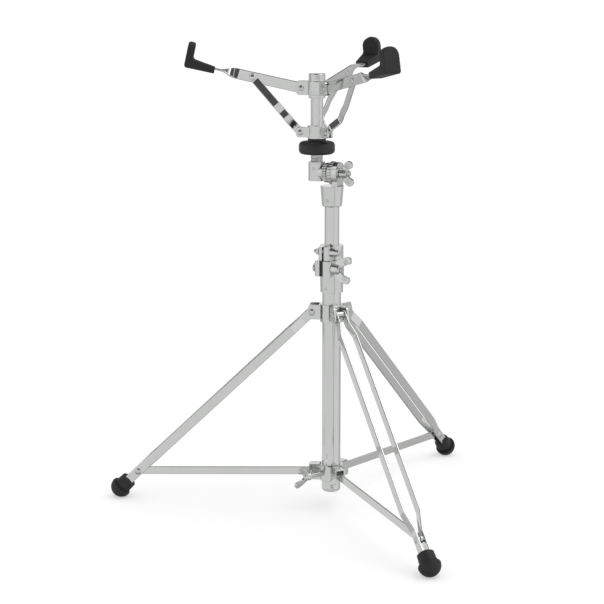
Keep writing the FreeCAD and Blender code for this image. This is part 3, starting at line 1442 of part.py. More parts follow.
def make_tip(number, frame):
    """A rubber grip on an arm's upturned end: a sloping shelf and a rounded upright."""
    inner = f"({ARM_UPTURN_REACH} - tip_length)"
    outer = f"({ARM_UPTURN_REACH} + tip_back_wall)"
    upright = f"({ARM_UPTURN_REACH} - arm_thick - tip_front_wall)"
    under = "-(arm_thick / 2 + tip_under_wall)"
    top = "(arm_upturn + tip_crest)"
    thick_round = f"({outer} - {upright}) * edge_round_share"
    body = new_body(f"Tip{number}Rubber")
    sketch = new_sketch(body, "XZ_Plane")
    side = [
        (inner, under),
        (outer, under, "tip_round"),
        (outer, top, thick_round),
        (upright, top, thick_round),
        (upright, "arm_thick / 2 + tip_shelf_wall", "tip_round"),
        (inner, "arm_thick / 2 + tip_lip_wall"),
    ]
    draw_loop(sketch, side)
    pad(body, sketch, "arm_width + 2 * tip_side_wall", symmetric=True)
    half = size("arm_width / 2 + tip_side_wall")
    over = half + size("cut_overrun")
    crest = size(top)
    sky = crest + size("cut_overrun")
    spring = crest - half
    sketch = new_sketch(body, "YZ_Plane")
    above = [(over, spring), (over, sky), (-over, sky)]
    draw_loop(sketch, [(-over, spring), (-half, spring), (half, spring, 0, crest)] + above)
    pocket(body, sketch, backward=True)
    start = size(f"{inner} - cut_overrun")
    mouth = size("arm_width / 2 + tip_mouth_wall")
    for way in (1, -1):
        sketch = new_sketch(body, "XY_Plane")
        taper = [(start, way * mouth), (upright, way * half), (upright, way * over), (start, way * over)]
        draw_loop(sketch, taper)
        pocket(body, sketch, symmetric=True)
    body.Placement = frame
    width = size("arm_width + 2 * fit_gap")
    thick = size("arm_thick + 2 * fit_gap")
    flat_start = shifted(frame, start, -width / 2, -thick / 2)
    flat_length = size(f"{ARM_UPTURN_REACH} + fit_gap") - start
    flat = block(f"Tip{number}Slot", flat_length, width, thick, flat_start)
    upturn_start = shifted(frame, f"{ARM_UPTURN_REACH} - arm_thick - fit_gap", -width / 2, -thick / 2)
    upturn_height = "arm_upturn + arm_thick / 2 + 2 * fit_gap"
    upturn = block(f"Tip{number}Upslot", thick, width, upturn_height, upturn_start)
    slotted = cut(f"Tip{number}Slotted", body, flat)
    node(cut(f"Tip{number}", slotted, upturn), f"arm_tip_{number}")


def build():
    make_main_tube()
    make_end_cap()
    make_leg_hub()
    make_leg_hub_rivets()
    for index in range(LEG_COUNT):
        make_leg(index + 1, leg_frame(index))
        make_foot(index + 1, leg_frame(index))
        make_brace(index + 1, brace_frame(index))
    make_brace_hub()
    make_tripod_wing_bolt()
    make_height_clamp()
    make_clamp_bush()
    make_clamp_bolt()
    make_clamp_wing_nut()
    make_upper_tube()
    make_upper_tube_guide()
    make_memory_lock()
    make_lock_screw()
    make_tilter_base()
    make_tilter_head()
    make_tilt_stud()
    make_tilt_wing_nut()
    make_post()
    make_crown()
    make_slider()
    make_handwheel()
    for index in range(ARM_COUNT):
        make_arm(index + 1, arm_frame(index))
        make_strut(index + 1, strut_frame(index))
        make_tip(index + 1, arm_frame(index))
    doc.recompute()


def check():
    """Stop before anything is written if an object failed or a piece is missing."""
    for item in doc.Objects:
        if "Invalid" in item.State or "Error" in item.State:
            raise ValueError(f"{item.Label} failed: {item.State}")
    for item in nodes:
        if item.Shape.isNull() or not item.Shape.isValid() or not item.Shape.Solids:
            raise ValueError(f"{item.Label} is not a sound solid")
    if len(nodes) > NODE_LIMIT:
        raise ValueError("too many nodes")


def export():
    os.makedirs("parts", exist_ok=True)
    for item in nodes:
        item.Shape.exportStep(f"parts/{item.Label}.step")


fill_sheet()
build()
check()
export()
print(len(nodes), "nodes")
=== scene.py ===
"""A chrome-plated snare drum stand with black rubber feet and grips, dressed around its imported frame."""
import json
import logging
import math
from dataclasses import dataclass, field
from enum import Enum

import bmesh
import bpy
from mathutils import Matrix, Vector

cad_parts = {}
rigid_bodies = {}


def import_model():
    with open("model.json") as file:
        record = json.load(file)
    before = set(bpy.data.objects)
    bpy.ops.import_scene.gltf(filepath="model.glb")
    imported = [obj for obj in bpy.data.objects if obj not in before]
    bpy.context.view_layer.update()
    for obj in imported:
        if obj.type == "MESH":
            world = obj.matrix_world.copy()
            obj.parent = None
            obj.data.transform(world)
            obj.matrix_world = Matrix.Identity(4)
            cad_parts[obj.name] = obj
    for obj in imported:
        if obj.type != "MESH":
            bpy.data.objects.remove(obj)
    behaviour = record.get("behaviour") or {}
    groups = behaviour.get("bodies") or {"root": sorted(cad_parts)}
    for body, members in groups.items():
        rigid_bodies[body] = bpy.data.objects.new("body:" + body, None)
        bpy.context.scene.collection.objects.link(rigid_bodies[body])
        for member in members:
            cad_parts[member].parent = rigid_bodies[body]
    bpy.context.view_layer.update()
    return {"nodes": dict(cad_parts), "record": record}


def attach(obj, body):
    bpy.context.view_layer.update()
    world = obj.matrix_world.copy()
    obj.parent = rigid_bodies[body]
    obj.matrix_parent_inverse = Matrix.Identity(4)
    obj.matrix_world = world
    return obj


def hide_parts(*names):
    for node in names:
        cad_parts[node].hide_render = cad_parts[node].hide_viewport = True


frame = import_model()

logging.basicConfig(level=logging.INFO, format="%(message)s")
log = logging.getLogger("snare_stand")

Point2 = tuple[float, float]
Point3 = tuple[float, float, float]
Colour = tuple[float, float, float, float]
Aimed = list[tuple[Vector, Vector]]

MM = 0.001
PICTURE_PX = 604
# Directions of the legs, of the basket's arms and of the tilting axis round the stand, in degrees.
LEG_AZIMUTHS = (174.0, 294.0, 54.0)
ARM_AZIMUTHS = (183.0, 303.0, 63.0)
TILT_AZIMUTH = -24.0
# Steps round a tube or wheel, a foot and a strut rivet's head.
TUBE_SEGMENTS = 96
FOOT_SEGMENTS = 72
HEAD_SEGMENTS = 36
# Steps on the round of a rim, a bar's edge, a bend, a bar's end and a strut rivet's dome.
RIM_STEPS = 3
EDGE_STEPS = 4
BEND_STEPS = 6
END_STEPS = 8
DOME_STEPS = 8
# Sides and rings of a node tree's shapes: a rivet's shank and head, a thread's turn and ridge, a rib.
SHANK_SIDES = 24
RIVET_SIDES = 32
RIVET_RINGS = 16
TURN_SIDES = 28
RIDGE_SIDES = 6
RIB_SIDES = 10
# Sockets of a Mix node set to colours: its two colours and its result.
MIX_FIRST, MIX_SECOND, MIX_RESULT = 6, 7, 2
# A tube's wall is this many times the round of its rims.
RIMS_IN_WALL = 3
# The most that an edge's round takes of a bar's half size.
EDGE_SHARE = 0.9
# The radius of a thread's ridge, as a share of its pitch.
RIDGE_SHARE = 0.3
# Points nearer than this are one: in millimetres while a shape is made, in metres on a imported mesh.
MERGE_MM = 1e-5
MERGE_M = 1e-6
# A profile point nearer to the axis than this is a pole, in millimetres.
POLE_MM = 1e-6
# Edges that turn by more stay sharp, in degrees: on a made shape, a node tree's shape and a melted one.
SHAPE_SHARP = 40.0
TREE_SHARP = 45.0
MELTED_SHARP = 180.0


class Slot(Enum):
    """The record's material slots."""

    STEEL = "chrome_steel"
    CASTING = "chrome_casting"
    FASTENER = "zinc_fasteners"
    RUBBER = "black_rubber"
    PLASTIC = "black_plastic"


def linear(hex_colour: str) -> Colour:
    """Turn an sRGB hex colour to linear light by the sRGB curve.

    Args:
        hex_colour: Six hex digits.

    Returns:
        Red, green, blue and an alpha of one.
    """
    parts = [int(hex_colour[i:i + 2], 16) / 255 for i in (0, 2, 4)]
    bright = [p / 12.92 if p <= 0.04045 else ((p + 0.055) / 1.055) ** 2.4 for p in parts]
    return (*bright, 1.0)


def grey(level: float) -> Colour:
    """A grey at a level of linear light."""
    return (level, level, level, 1.0)


def per_mm(size: float) -> float:
    """The texture scale at which a pattern repeats about every size millimetres."""
    return 1.0 / (size * MM)


def add_node(
    tree: bpy.types.NodeTree, kind: str, inputs: dict | None = None, **settings: object
) -> bpy.types.Node:
    """Add a node with its settings, values and links.

    Args:
        tree: The tree that takes the node.
        kind: The node's type.
        inputs: Values or sockets by input name or number.
        **settings: Properties of the node itself.

    Returns:
        The new node.
    """
    node = tree.nodes.new(kind)
    for name, value in settings.items():
        setattr(node, name, value)
    for key, value in (inputs or {}).items():
        if isinstance(value, bpy.types.NodeSocket):
            tree.links.new(value, node.inputs[key])
        else:
            node.inputs[key].default_value = value
    return node


def bare_tree(owner: bpy.types.Material | bpy.types.World) -> bpy.types.NodeTree:
    """Switch on a material's or a world's nodes and empty its tree.

    Args:
        owner: The material or world.

    Returns:
        The empty tree.
    """
    owner.use_nodes = True
    owner.node_tree.nodes.clear()
    return owner.node_tree


@dataclass(frozen=True)
class Finish:
    """A surface of two tints that drift into each other, with a fine relief and eased edges.

    The drift also moves the roughness: smooth at the lower end of its spread, rough at the upper end.
    """

    name: str
    first: str
    second: str
    smooth: float
    rough: float
    drift_mm: float
    relief_mm: float
    relief_height_mm: float
    edge_mm: float
    metallic: float
    drift_detail: float
    relief_detail: float
    spread: Point2
    strength: float
    edge_samples: int = 4

    def build(self) -> bpy.types.Material:
        """Make the node material.

        Returns:
            The material, on Object coordinates.
        """
        material = bpy.data.materials.new(self.name)
        material.use_nodes = True
        tree = material.node_tree
        shader = tree.nodes["Principled BSDF"]
        place = add_node(tree, "ShaderNodeTexCoord").outputs["Object"]
        noises = []
        for size, detail in ((self.drift_mm, self.drift_detail), (self.relief_mm, self.relief_detail)):
            values = {"Vector": place, "Scale": per_mm(size), "Detail": detail}
            noises.append(add_node(tree, "ShaderNodeTexNoise", values).outputs[0])
        drift, relief = noises
        tint = add_node(
            tree,
            "ShaderNodeMix",
            {"Factor": drift, MIX_FIRST: linear(self.first), MIX_SECOND: linear(self.second)},
            data_type="RGBA",
        )
        low, high = self.spread
        gloss = add_node(
            tree,
            "ShaderNodeMapRange",
            {"Value": drift, "From Min": low, "From Max": high, "To Min": self.smooth, "To Max": self.rough},
        )
        edge = add_node(tree, "ShaderNodeBevel", {"Radius": self.edge_mm * MM}, samples=self.edge_samples)
        bump = add_node(
            tree,
            "ShaderNodeBump",
            {
                "Height": relief,
                "Strength": self.strength,
                "Distance": self.relief_height_mm * MM,
                "Normal": edge.outputs[0],
            },
        )
        shader.inputs["Metallic"].default_value = self.metallic
        tree.links.new(tint.outputs[MIX_RESULT], shader.inputs["Base Color"])
        tree.links.new(gloss.outputs[0], shader.inputs["Roughness"])
        tree.links.new(bump.outputs[0], shader.inputs["Normal"])
        return material


@dataclass(frozen=True)
class PlatedMetal(Finish):
    """A plated metal: two bright tints, a soft ripple and eased edges."""

    metallic: float = 1.0
    drift_detail: float = 4.0
    relief_detail: float = 2.0
    spread: Point2 = (0.35, 0.65)
    strength: float = 0.35


@dataclass(frozen=True)
class MouldedBlack(Finish):
    """A moulded black: a mould's fine grain, faint rubbed patches and a dull sheen."""

    metallic: float = 0.0
    drift_detail: float = 5.0
    relief_detail: float = 3.0
    spread: Point2 = (0.3, 0.7)
    strength: float = 0.6


# Bright chrome over buffed steel: a mirror with the faint ripple that buffing leaves.
CHROME_STEEL = PlatedMetal(
    "chrome_plated_buffed_steel", "D6D7D6", "CFD1CF", smooth=0.04, rough=0.09,
    drift_mm=60.0, relief_mm=14.0, relief_height_mm=0.05, edge_mm=0.35,
)
# Bright chrome over a die casting: softer edges and a slightly wavier skin.
CHROME_CAST = PlatedMetal(
    "chrome_plated_die_casting", "D6D7D6", "CCCECC", smooth=0.06, rough=0.12,
    drift_mm=30.0, relief_mm=6.0, relief_height_mm=0.08, edge_mm=0.7,
)
# Bright zinc plating on turned steel: a little greyer and duller than chrome.
ZINC_STEEL = PlatedMetal(
    "zinc_plated_turned_steel", "D0D2D1", "B9BBBA", smooth=0.09, rough=0.18,
    drift_mm=4.0, relief_mm=1.5, relief_height_mm=0.03, edge_mm=0.3,
)
# Moulded rubber: nearly black, matt, with a grain drawn coarser than the mould's so that it shows.
BLACK_RUBBER = MouldedBlack(
    "moulded_black_rubber", "131313", "1B1B1B", smooth=0.5, rough=0.68,
    drift_mm=18.0, relief_mm=1.1, relief_height_mm=0.12, edge_mm=0.8,
)
# Moulded nylon: a little smoother than the rubber, with a dull shine.
BLACK_NYLON = MouldedBlack(
    "moulded_black_nylon", "131414", "1B1C1C", smooth=0.4, rough=0.54,
    drift_mm=14.0, relief_mm=0.9, relief_height_mm=0.06, edge_mm=0.5,
)
SLOT_FINISHES = {
    Slot.STEEL: CHROME_STEEL,
    Slot.CASTING: CHROME_CAST,
    Slot.FASTENER: ZINC_STEEL,
    Slot.RUBBER: BLACK_RUBBER,
    Slot.PLASTIC: BLACK_NYLON,
}


@dataclass
class Finishes:
    """Every finish of the stand, made once, by the record's slot."""

    materials: dict[Slot, bpy.types.Material] = field(default_factory=dict)

    def make(self) -> None:
        """Build the five materials."""
        self.materials = {slot: finish.build() for slot, finish in SLOT_FINISHES.items()}

    def dress_frame(self) -> None:
        """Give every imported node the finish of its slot."""
        for row in frame["record"]["subparts"]:
            node = frame["nodes"][row["node"]]
            material = self.materials[Slot(row["material_slot"])]
            for slot in node.material_slots:
                slot.material = material


FINISHES = Finishes()


def linked(name: str, data: bpy.types.ID) -> bpy.types.Object:
    """Put new data in the scene as an object.

    Args:
        name: The object's name.
        data: Its mesh, camera or light.

    Returns:
        The new object, at the origin.
    """
    thing = bpy.data.objects.new(name, data)
    bpy.context.scene.collection.objects.link(thing)
    return thing


def point_axis(thing: bpy.types.Object, axis: str, way: Vector) -> None:
    """Turn an object so that one of its axes points a way."""
    thing.rotation_mode = "QUATERNION"
    thing.rotation_quaternion = way.to_track_quat(axis, "Y")


def show_piece(name: str, mesh: bpy.types.Mesh, slot: Slot, body: str, nodes: list[str]) -> None:
    """Put a finished mesh in the scene as a piece of the stand.

    Args:
        name: The piece's name.
        mesh: Its mesh, in place.
        slot: The record's slot that it takes its finish from.
        body: The body that it rides on.
        nodes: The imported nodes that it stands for.
    """
    piece = linked(name, mesh)
    mesh.materials.clear()
    mesh.materials.append(FINISHES.materials[slot])
    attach(piece, body)
    if nodes:
        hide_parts(*nodes)
    log.info("piece %s on %s: %d faces", name, body, len(mesh.polygons))


def shade(mesh: bpy.types.Mesh, sharp_degrees: float) -> None:
    """Smooth a mesh's shading.

    Args:
        mesh: The mesh.
        sharp_degrees: Edges that turn by more stay sharp.
    """
    for face in mesh.polygons:
        face.use_smooth = True
    mesh.set_sharp_from_angle(angle=math.radians(sharp_degrees))


def weigh(mesh: bpy.types.Mesh, sharp_degrees: float) -> None:
    """Let large faces set the shading where they meet small ones, so that a flat face mirrors as a flat one.

    Args:
        mesh: The mesh, already shaded smooth.
        sharp_degrees: Faces that turn by more do not share their shading.
    """
    near = math.cos(math.radians(sharp_degrees))
    around = [[] for _ in mesh.vertices]
    for face in mesh.polygons:
        for vertex in face.vertices:
            around[vertex].append((face.normal.copy(), face.area))
    normals = []
    for face in mesh.polygons:
        for vertex in face.vertices:
            total = Vector()
            for normal, area in around[vertex]:
                if normal.dot(face.normal) >= near:
                    total += normal * area
            normals.append(total.normalized())
    mesh.normals_split_custom_set(normals)


def finished(name: str, shape: bmesh.types.BMesh, placement: Matrix) -> bpy.types.Mesh:
    """Turn a millimetre shape into a mesh in metres, in place, with its faces outward.

    Args:
        name: The mesh's name.
        shape: The shape, which is freed.
        placement: Its frame, in millimetres.

    Returns:
        The mesh.
    """
    bmesh.ops.remove_doubles(shape, verts=shape.verts, dist=MERGE_MM)
    bmesh.ops.recalc_face_normals(shape, faces=shape.faces)
    mesh = bpy.data.meshes.new(name)
    shape.to_mesh(mesh)
    shape.free()
    mesh.transform(Matrix.Scale(MM, 4) @ placement)
    shade(mesh, SHAPE_SHARP)
    weigh(mesh, SHAPE_SHARP)
    return mesh


def rounded(points: list[Point2], radii: dict[int, float], steps: int) -> list[Point2]:
    """Round chosen corners of an open or closed outline.

    Args:
        points: The outline's corners.
        radii: Corner number to radius.
        steps: Steps on each round.

    Returns:
        The outline with its rounds.
    """
    out: list[Point2] = []
    for index, point in enumerate(points):
        if index not in radii:
            out.append(point)
            continue
        corner = Vector(point)
        before = (Vector(points[index - 1]) - corner).normalized()
        after = (Vector(points[(index + 1) % len(points)]) - corner).normalized()
        half = before.angle(after) / 2
        setback = radii[index] / math.tan(half)
        centre = corner + (before + after).normalized() * (radii[index] / math.sin(half))
        start = corner + before * setback - centre
        end = corner + after * setback - centre
        turn = start.angle_signed(end)
        for step in range(steps + 1):
            spoke = start.copy()
            spoke.rotate(Matrix.Rotation(-turn * step / steps, 2))
            out.append(tuple(centre + spoke))
    return out


def quarter_turn(steps: int) -> list[float]:
    """Angles from zero to a right angle in even steps."""
    return [math.pi / 2 * step / steps for step in range(steps + 1)]


def lathe(profile: list[Point2], segments: int, closed: bool = False) -> bmesh.types.BMesh:
    """Turn a profile of (radius, height) points about the Z axis.

    Args:
        profile: From pole to pole, or round a ring's section where it is closed.
        segments: Steps round the axis.
        closed: Whether the last point joins the first.

    Returns:
        The shape, in millimetres.
    """
    shape = bmesh.new()
    rings = []
    for radius, height in profile:
        if radius < POLE_MM:
            rings.append([shape.verts.new((0, 0, height))] * segments)
            continue
        angles = [2 * math.pi * step / segments for step in range(segments)]
        rings.append([shape.verts.new((radius * math.cos(a), radius * math.sin(a), height)) for a in angles])
    pairs = list(zip(rings, rings[1:]))
    if closed:
        pairs.append((rings[-1], rings[0]))
    for low, high in pairs:
        for step in range(segments):
            after = (step + 1) % segments
            corners = [low[step], low[after], high[after], high[step]]
            unique = list(dict.fromkeys(corners))
            if len(unique) > 2:
                shape.faces.new(unique)
    return shape


def collar(radii: Point2, ends: Point2, rounds: dict[int, float]) -> bmesh.types.BMesh:
    """An upright ring with a square section.

    Args:
        radii: Its inner and its outer radius.
        ends: Its lower and its upper end.
        rounds: Corner number to radius; the corners run from the inner lower one to the inner upper one.

    Returns:
        The shape, in millimetres.
    """
    (inner, outer), (low, high) = radii, ends
    outline = [(inner, low), (outer, low), (outer, high), (inner, high)]
    return lathe(rounded(outline, rounds, RIM_STEPS), TUBE_SEGMENTS, True)


def tube(radius: float, wall: float, ends: Point2) -> bmesh.types.BMesh:
    """An upright tube with eased rims.

    Args:
        radius: Its outer radius.
        wall: Its wall's thickness.
        ends: Its lower and its upper end.

    Returns:
        The shape, in millimetres.
    """
    rim = wall / RIMS_IN_WALL
    return collar((radius - wall, radius), ends, {0: rim, 1: rim, 2: rim, 3: rim})


@dataclass
class Station:
    """One cross-section of a flat bar: its middle, its width and thickness directions and its half sizes."""

    middle: Vector
    wide: Vector
    thick: Vector
    half_width: float
    half_thick: float


def flat_bar(stations: list[Station], edge: float) -> bmesh.types.BMesh:
    """Loft a flat bar with rounded edges through its stations.

    Args:
        stations: Cross-sections from end to end.
        edge: The radius of its long edges.

    Returns:
        The shape, in millimetres.
    """
    shape = bmesh.new()
    rings = []
    for station in stations:
        radius = min(edge, station.half_width * EDGE_SHARE, station.half_thick * EDGE_SHARE)
        ring = []
        for quarter, (a, b) in enumerate(((1, 1), (-1, 1), (-1, -1), (1, -1))):
            centre = Vector((a * (station.half_width - radius), b * (station.half_thick - radius)))
            for step in range(EDGE_STEPS + 1):
                angle = math.pi / 2 * (quarter + step / EDGE_STEPS)
                u = centre.x + radius * math.cos(angle)
                v = centre.y + radius * math.sin(angle)
                ring.append(shape.verts.new(station.middle + station.wide * u + station.thick * v))
        rings.append(ring)
    count = len(rings[0])
    for low, high in zip(rings, rings[1:]):
        for step in range(count):
            after = (step + 1) % count
            shape.faces.new((low[step], low[after], high[after], high[step]))
    shape.faces.new(rings[0][::-1])
    shape.faces.new(rings[-1])
    return shape


def eased(points: list[Point2], radius: float) -> list[Point2]:
    """Round the inner corners of an open path, all to one radius."""
    inner = {index: radius for index in range(1, len(points) - 1)}
    return rounded(points, inner, BEND_STEPS)


def end_widths(start: float, end: float, radius: float) -> list[Point2]:
    """Places and half widths of a round end, from its tip towards the bar.

    Args:
        start: The tip's place along the bar.
        end: The round's centre.
        radius: The end's radius.

    Returns:
        Pairs of place and half width.
    """
    way = 1 if end > start else -1
    angles = quarter_turn(END_STEPS)[1:]
    return [(end - way * radius * math.cos(a), radius * math.sin(a)) for a in angles]


def path_station(path: list[Point2], place: float) -> tuple[float, Vector]:
    """Follow a path to a place along X.

    Args:
        path: The path's points in the XY plane, by rising X.
        place: The place along X.

    Returns:
        Where the path lies along Y there, and its direction.
    """
    for (x0, y0), (x1, y1) in zip(path, path[1:]):
        if x0 <= place <= x1 and x1 > x0:
            share = (place - x0) / (x1 - x0)
            return y0 + share * (y1 - y0), Vector((x1 - x0, y1 - y0, 0)).normalized()
    (x0, y0), (x1, y1) = path[-2:]
    return y1, Vector((x1 - x0, y1 - y0, 0)).normalized()


def bent_bar(path: list[Point2], places: list[Point2], thick: float, edge: float) -> bmesh.types.BMesh:
    """A flat bar that stands on edge along X and bends aside along a path.

    Args:
        path: The bar's middle line in the XY plane.
        places: Places along X with the half width there.
        thick: The bar's thickness.
        edge: The radius of its long edges.

    Returns:
        The shape, in millimetres.
    """
    stations = []
    for place, half_width in places:
        aside, ahead = path_station(path, place)
        across = Vector((-ahead.y, ahead.x, 0))
        stations.append(Station(Vector((place, aside, 0)), Vector((0, 0, 1)), across, half_width, thick / 2))
    return flat_bar(stations, edge)


def joined(shapes: list[bmesh.types.BMesh]) -> bmesh.types.BMesh:
    """Put several shapes in one.

    Args:
        shapes: The shapes, which are freed.

    Returns:
        The whole, in the shapes' own units.
    """
    whole = bmesh.new()
    for shape in shapes:
        holder = bpy.data.meshes.new("holder")
        shape.to_mesh(holder)
        shape.free()
        whole.from_mesh(holder)
        bpy.data.meshes.remove(holder)
    return whole


def spin(degrees: float, axis: str) -> Matrix:
    """A turn about an axis, in degrees."""
    return Matrix.Rotation(math.radians(degrees), 4, axis)


def moved(x: float, y: float, z: float) -> Matrix:
    """A shift, in millimetres."""
    return Matrix.Translation((x, y, z))


def dipped(run: Vector) -> Matrix:
    """The turn that lays X along a run of (outward, upward) lengths."""
    return Matrix.Rotation(-math.atan2(run.y, run.x), 4, "Y")


def aimed(placement: Matrix, place: Point3, way: Point3) -> tuple[Vector, Vector]:
    """A point and its direction, moved from a millimetre frame to metres in the scene."""
    return placement @ Vector(place) * MM, placement.to_3x3() @ Vector(way)


def settled(holder: bpy.types.Object) -> bpy.types.Mesh:
    """Keep what an object's modifiers make as a plain mesh, and remove the object with its own mesh.

    Args:
        holder: The object, with its modifiers, in the scene.

    Returns:
        The plain mesh.
    """
    graph = bpy.context.evaluated_depsgraph_get()
    result = bpy.data.meshes.new_from_object(holder.evaluated_get(graph))
    source = holder.data
    holder.modifiers.clear()
    bpy.data.objects.remove(holder)
    bpy.data.meshes.remove(source)
    return result


@dataclass(frozen=True)
class Melt:
    """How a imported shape's edges melt: the finest detail that stays, and how often its skin is smoothed."""

    voxel_mm: float
    passes: int
    factor: float = 0.5


CAST_EDGES = Melt(voxel_mm=0.45, passes=4)
MOULDED_EDGES = Melt(voxel_mm=0.6, passes=8)


def recast(node: str, edges: Melt) -> bpy.types.Mesh:
    """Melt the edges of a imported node's shape, as a casting or moulding has them.

    Args:
        node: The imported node.
        edges: How its edges melt.

    Returns:
        The new mesh, in place.
    """
    mesh = frame["nodes"][node].data.copy()
    shape = bmesh.new()
    shape.from_mesh(mesh)
    bmesh.ops.remove_doubles(shape, verts=shape.verts, dist=MERGE_M)
    shape.to_mesh(mesh)
    shape.free()
    holder = linked("recast_" + node, mesh)
    remesh = holder.modifiers.new("skin", "REMESH")
    remesh.mode = "VOXEL"
    remesh.voxel_size = edges.voxel_mm * MM
    melt = holder.modifiers.new("melt", "SMOOTH")
    melt.factor = edges.factor
    melt.iterations = edges.passes
    result = settled(holder)
    shade(result, MELTED_SHARP)
    return result


class NodeShape:
    """A Geometry Nodes tree that makes a repeated shape, and its named inputs."""

    def __init__(self, name: str, inputs: dict[str, float]) -> None:
        """Start the tree with its inputs.

        Args:
            name: The tree's name.
            inputs: Input name to default value, in metres.
        """
        self.tree = bpy.data.node_groups.new(name, "GeometryNodeTree")
        self.tree.interface.new_socket("Geometry", in_out="INPUT", socket_type="NodeSocketGeometry")
        self.ids: dict[str, str] = {}
        for label, value in inputs.items():
            socket = self.tree.interface.new_socket(label, in_out="INPUT", socket_type="NodeSocketFloat")
            socket.default_value = value
            self.ids[label] = socket.identifier
        self.tree.interface.new_socket("Geometry", in_out="OUTPUT", socket_type="NodeSocketGeometry")
        self.source = add_node(self.tree, "NodeGroupInput")

    def value(self, label: str) -> bpy.types.NodeSocket:
        """The socket of a named input."""
        return self.source.outputs[label]

    def node(self, kind: str, inputs: dict | None = None, **settings: object) -> bpy.types.Node:
        """Add a node to this tree."""
        return add_node(self.tree, kind, inputs, **settings)

    def close(self, instance: bpy.types.NodeSocket, material: bpy.types.Material) -> None:
        """Copy the shape to every point, its Z axis along the point's direction, and end in plain geometry.

        Args:
            instance: The shape to copy.
            material: Its finish.
        """
        way = self.node("GeometryNodeInputNamedAttribute", {"Name": "axis"}, data_type="FLOAT_VECTOR")
        turn = self.node("FunctionNodeAlignRotationToVector", {"Vector": way.outputs[0]}, axis="Z")
        copies = self.node(
            "GeometryNodeInstanceOnPoints",
            {"Points": self.value("Geometry"), "Instance": instance, "Rotation": turn.outputs[0]},
        )
        plain = self.node("GeometryNodeRealizeInstances", {"Geometry": copies.outputs[0]})
        smooth = self.node("GeometryNodeSetShadeSmooth", {"Geometry": plain.outputs[0]})
        dressed = self.node("GeometryNodeSetMaterial", {"Geometry": smooth.outputs[0], "Material": material})
        self.node("NodeGroupOutput", {"Geometry": dressed.outputs[0]})

    def mesh(self, name: str, points: Aimed, values: dict[str, float]) -> bpy.types.Mesh:
        """Run the tree on points with directions.

        Args:
            name: The mesh's name.
            points: Places in metres, each with the direction that its copy points.
            values: Input name to value, in millimetres.

        Returns:
            The plain mesh.
        """
        seed = bpy.data.meshes.new(name)
        seed.from_pydata([place for place, _ in points], [], [])
        axis = seed.attributes.new("axis", "FLOAT_VECTOR", "POINT")
        axis.data.foreach_set("vector", [c for _, way in points for c in way])
        holder = linked(name, seed)
        modifier = holder.modifiers.new("shape", "NODES")
        modifier.node_group = self.tree
        for label, value in values.items():
            modifier[self.ids[label]] = value * MM
        result = settled(holder)
        result.set_sharp_from_angle(angle=math.radians(TREE_SHARP))
        return result


def rivet_shape(material: bpy.types.Material) -> NodeShape:
    """Rivets whose domed heads stand on points, with their shanks behind them.

    Args:
        material: Their finish.

    Returns:
        The tree, with inputs in metres.
    """
    shape = NodeShape("domed_rivets", {"Shank": 0.003, "Length": 0.003, "Head": 0.005, "Dome": 0.0016})
    shank = shape.node(
        "GeometryNodeMeshCylinder",
        {"Vertices": SHANK_SIDES, "Radius": shape.value("Shank"), "Depth": shape.value("Length")},
    )
    depth = shape.node("ShaderNodeMath", {0: shape.value("Length"), 1: -0.5}, operation="MULTIPLY")
    behind = shape.node("ShaderNodeCombineXYZ", {"Z": depth.outputs[0]})
    sunk = shape.node(
        "GeometryNodeTransform", {"Geometry": shank.outputs[0], "Translation": behind.outputs[0]}
    )
    values = {"Segments": RIVET_SIDES, "Rings": RIVET_RINGS, "Radius": 1.0}
    ball = shape.node("GeometryNodeMeshUVSphere", values)
    # The lower half of the unit ball goes up to its middle, which leaves a dome with a flat underside.
    place = shape.node("GeometryNodeInputPosition")
    above = shape.node(
        "ShaderNodeVectorMath", {0: place.outputs[0], 1: (-1.0, -1.0, 0.0)}, operation="MAXIMUM"
    )
    half = shape.node("GeometryNodeSetPosition", {"Geometry": ball.outputs[0], "Position": above.outputs[0]})
    spread = shape.node(
        "ShaderNodeCombineXYZ",
        {"X": shape.value("Head"), "Y": shape.value("Head"), "Z": shape.value("Dome")},
    )
    head = shape.node("GeometryNodeTransform", {"Geometry": half.outputs[0], "Scale": spread.outputs[0]})
    whole = shape.node("GeometryNodeJoinGeometry")
    for part in (sunk, head):
        shape.tree.links.new(part.outputs[0], whole.inputs[0])
    shape.close(whole.outputs[0], material)
    return shape


def thread_shape(material: bpy.types.Material) -> NodeShape:
    """Screw threads that climb from points along their directions.

    Args:
        material: Their finish.

    Returns:
        The tree, with inputs in metres.
    """
    shape = NodeShape("screw_threads", {"Radius": 0.004, "Length": 0.01, "Pitch": 0.00125, "Ridge": 0.0004})
    turns = shape.node(
        "ShaderNodeMath", {0: shape.value("Length"), 1: shape.value("Pitch")}, operation="DIVIDE"
    )
    coil = shape.node(
        "GeometryNodeCurveSpiral",
        {
            "Resolution": TURN_SIDES,
            "Rotations": turns.outputs[0],
            "Start Radius": shape.value("Radius"),
            "End Radius": shape.value("Radius"),
            "Height": shape.value("Length"),
        },
    )
    ridge = shape.node(
        "GeometryNodeCurvePrimitiveCircle", {"Resolution": RIDGE_SIDES, "Radius": shape.value("Ridge")}
    )
    body = shape.node(
        "GeometryNodeCurveToMesh",
        {"Curve": coil.outputs[0], "Profile Curve": ridge.outputs[0], "Fill Caps": True},
    )
    shape.close(body.outputs[0], material)
    return shape


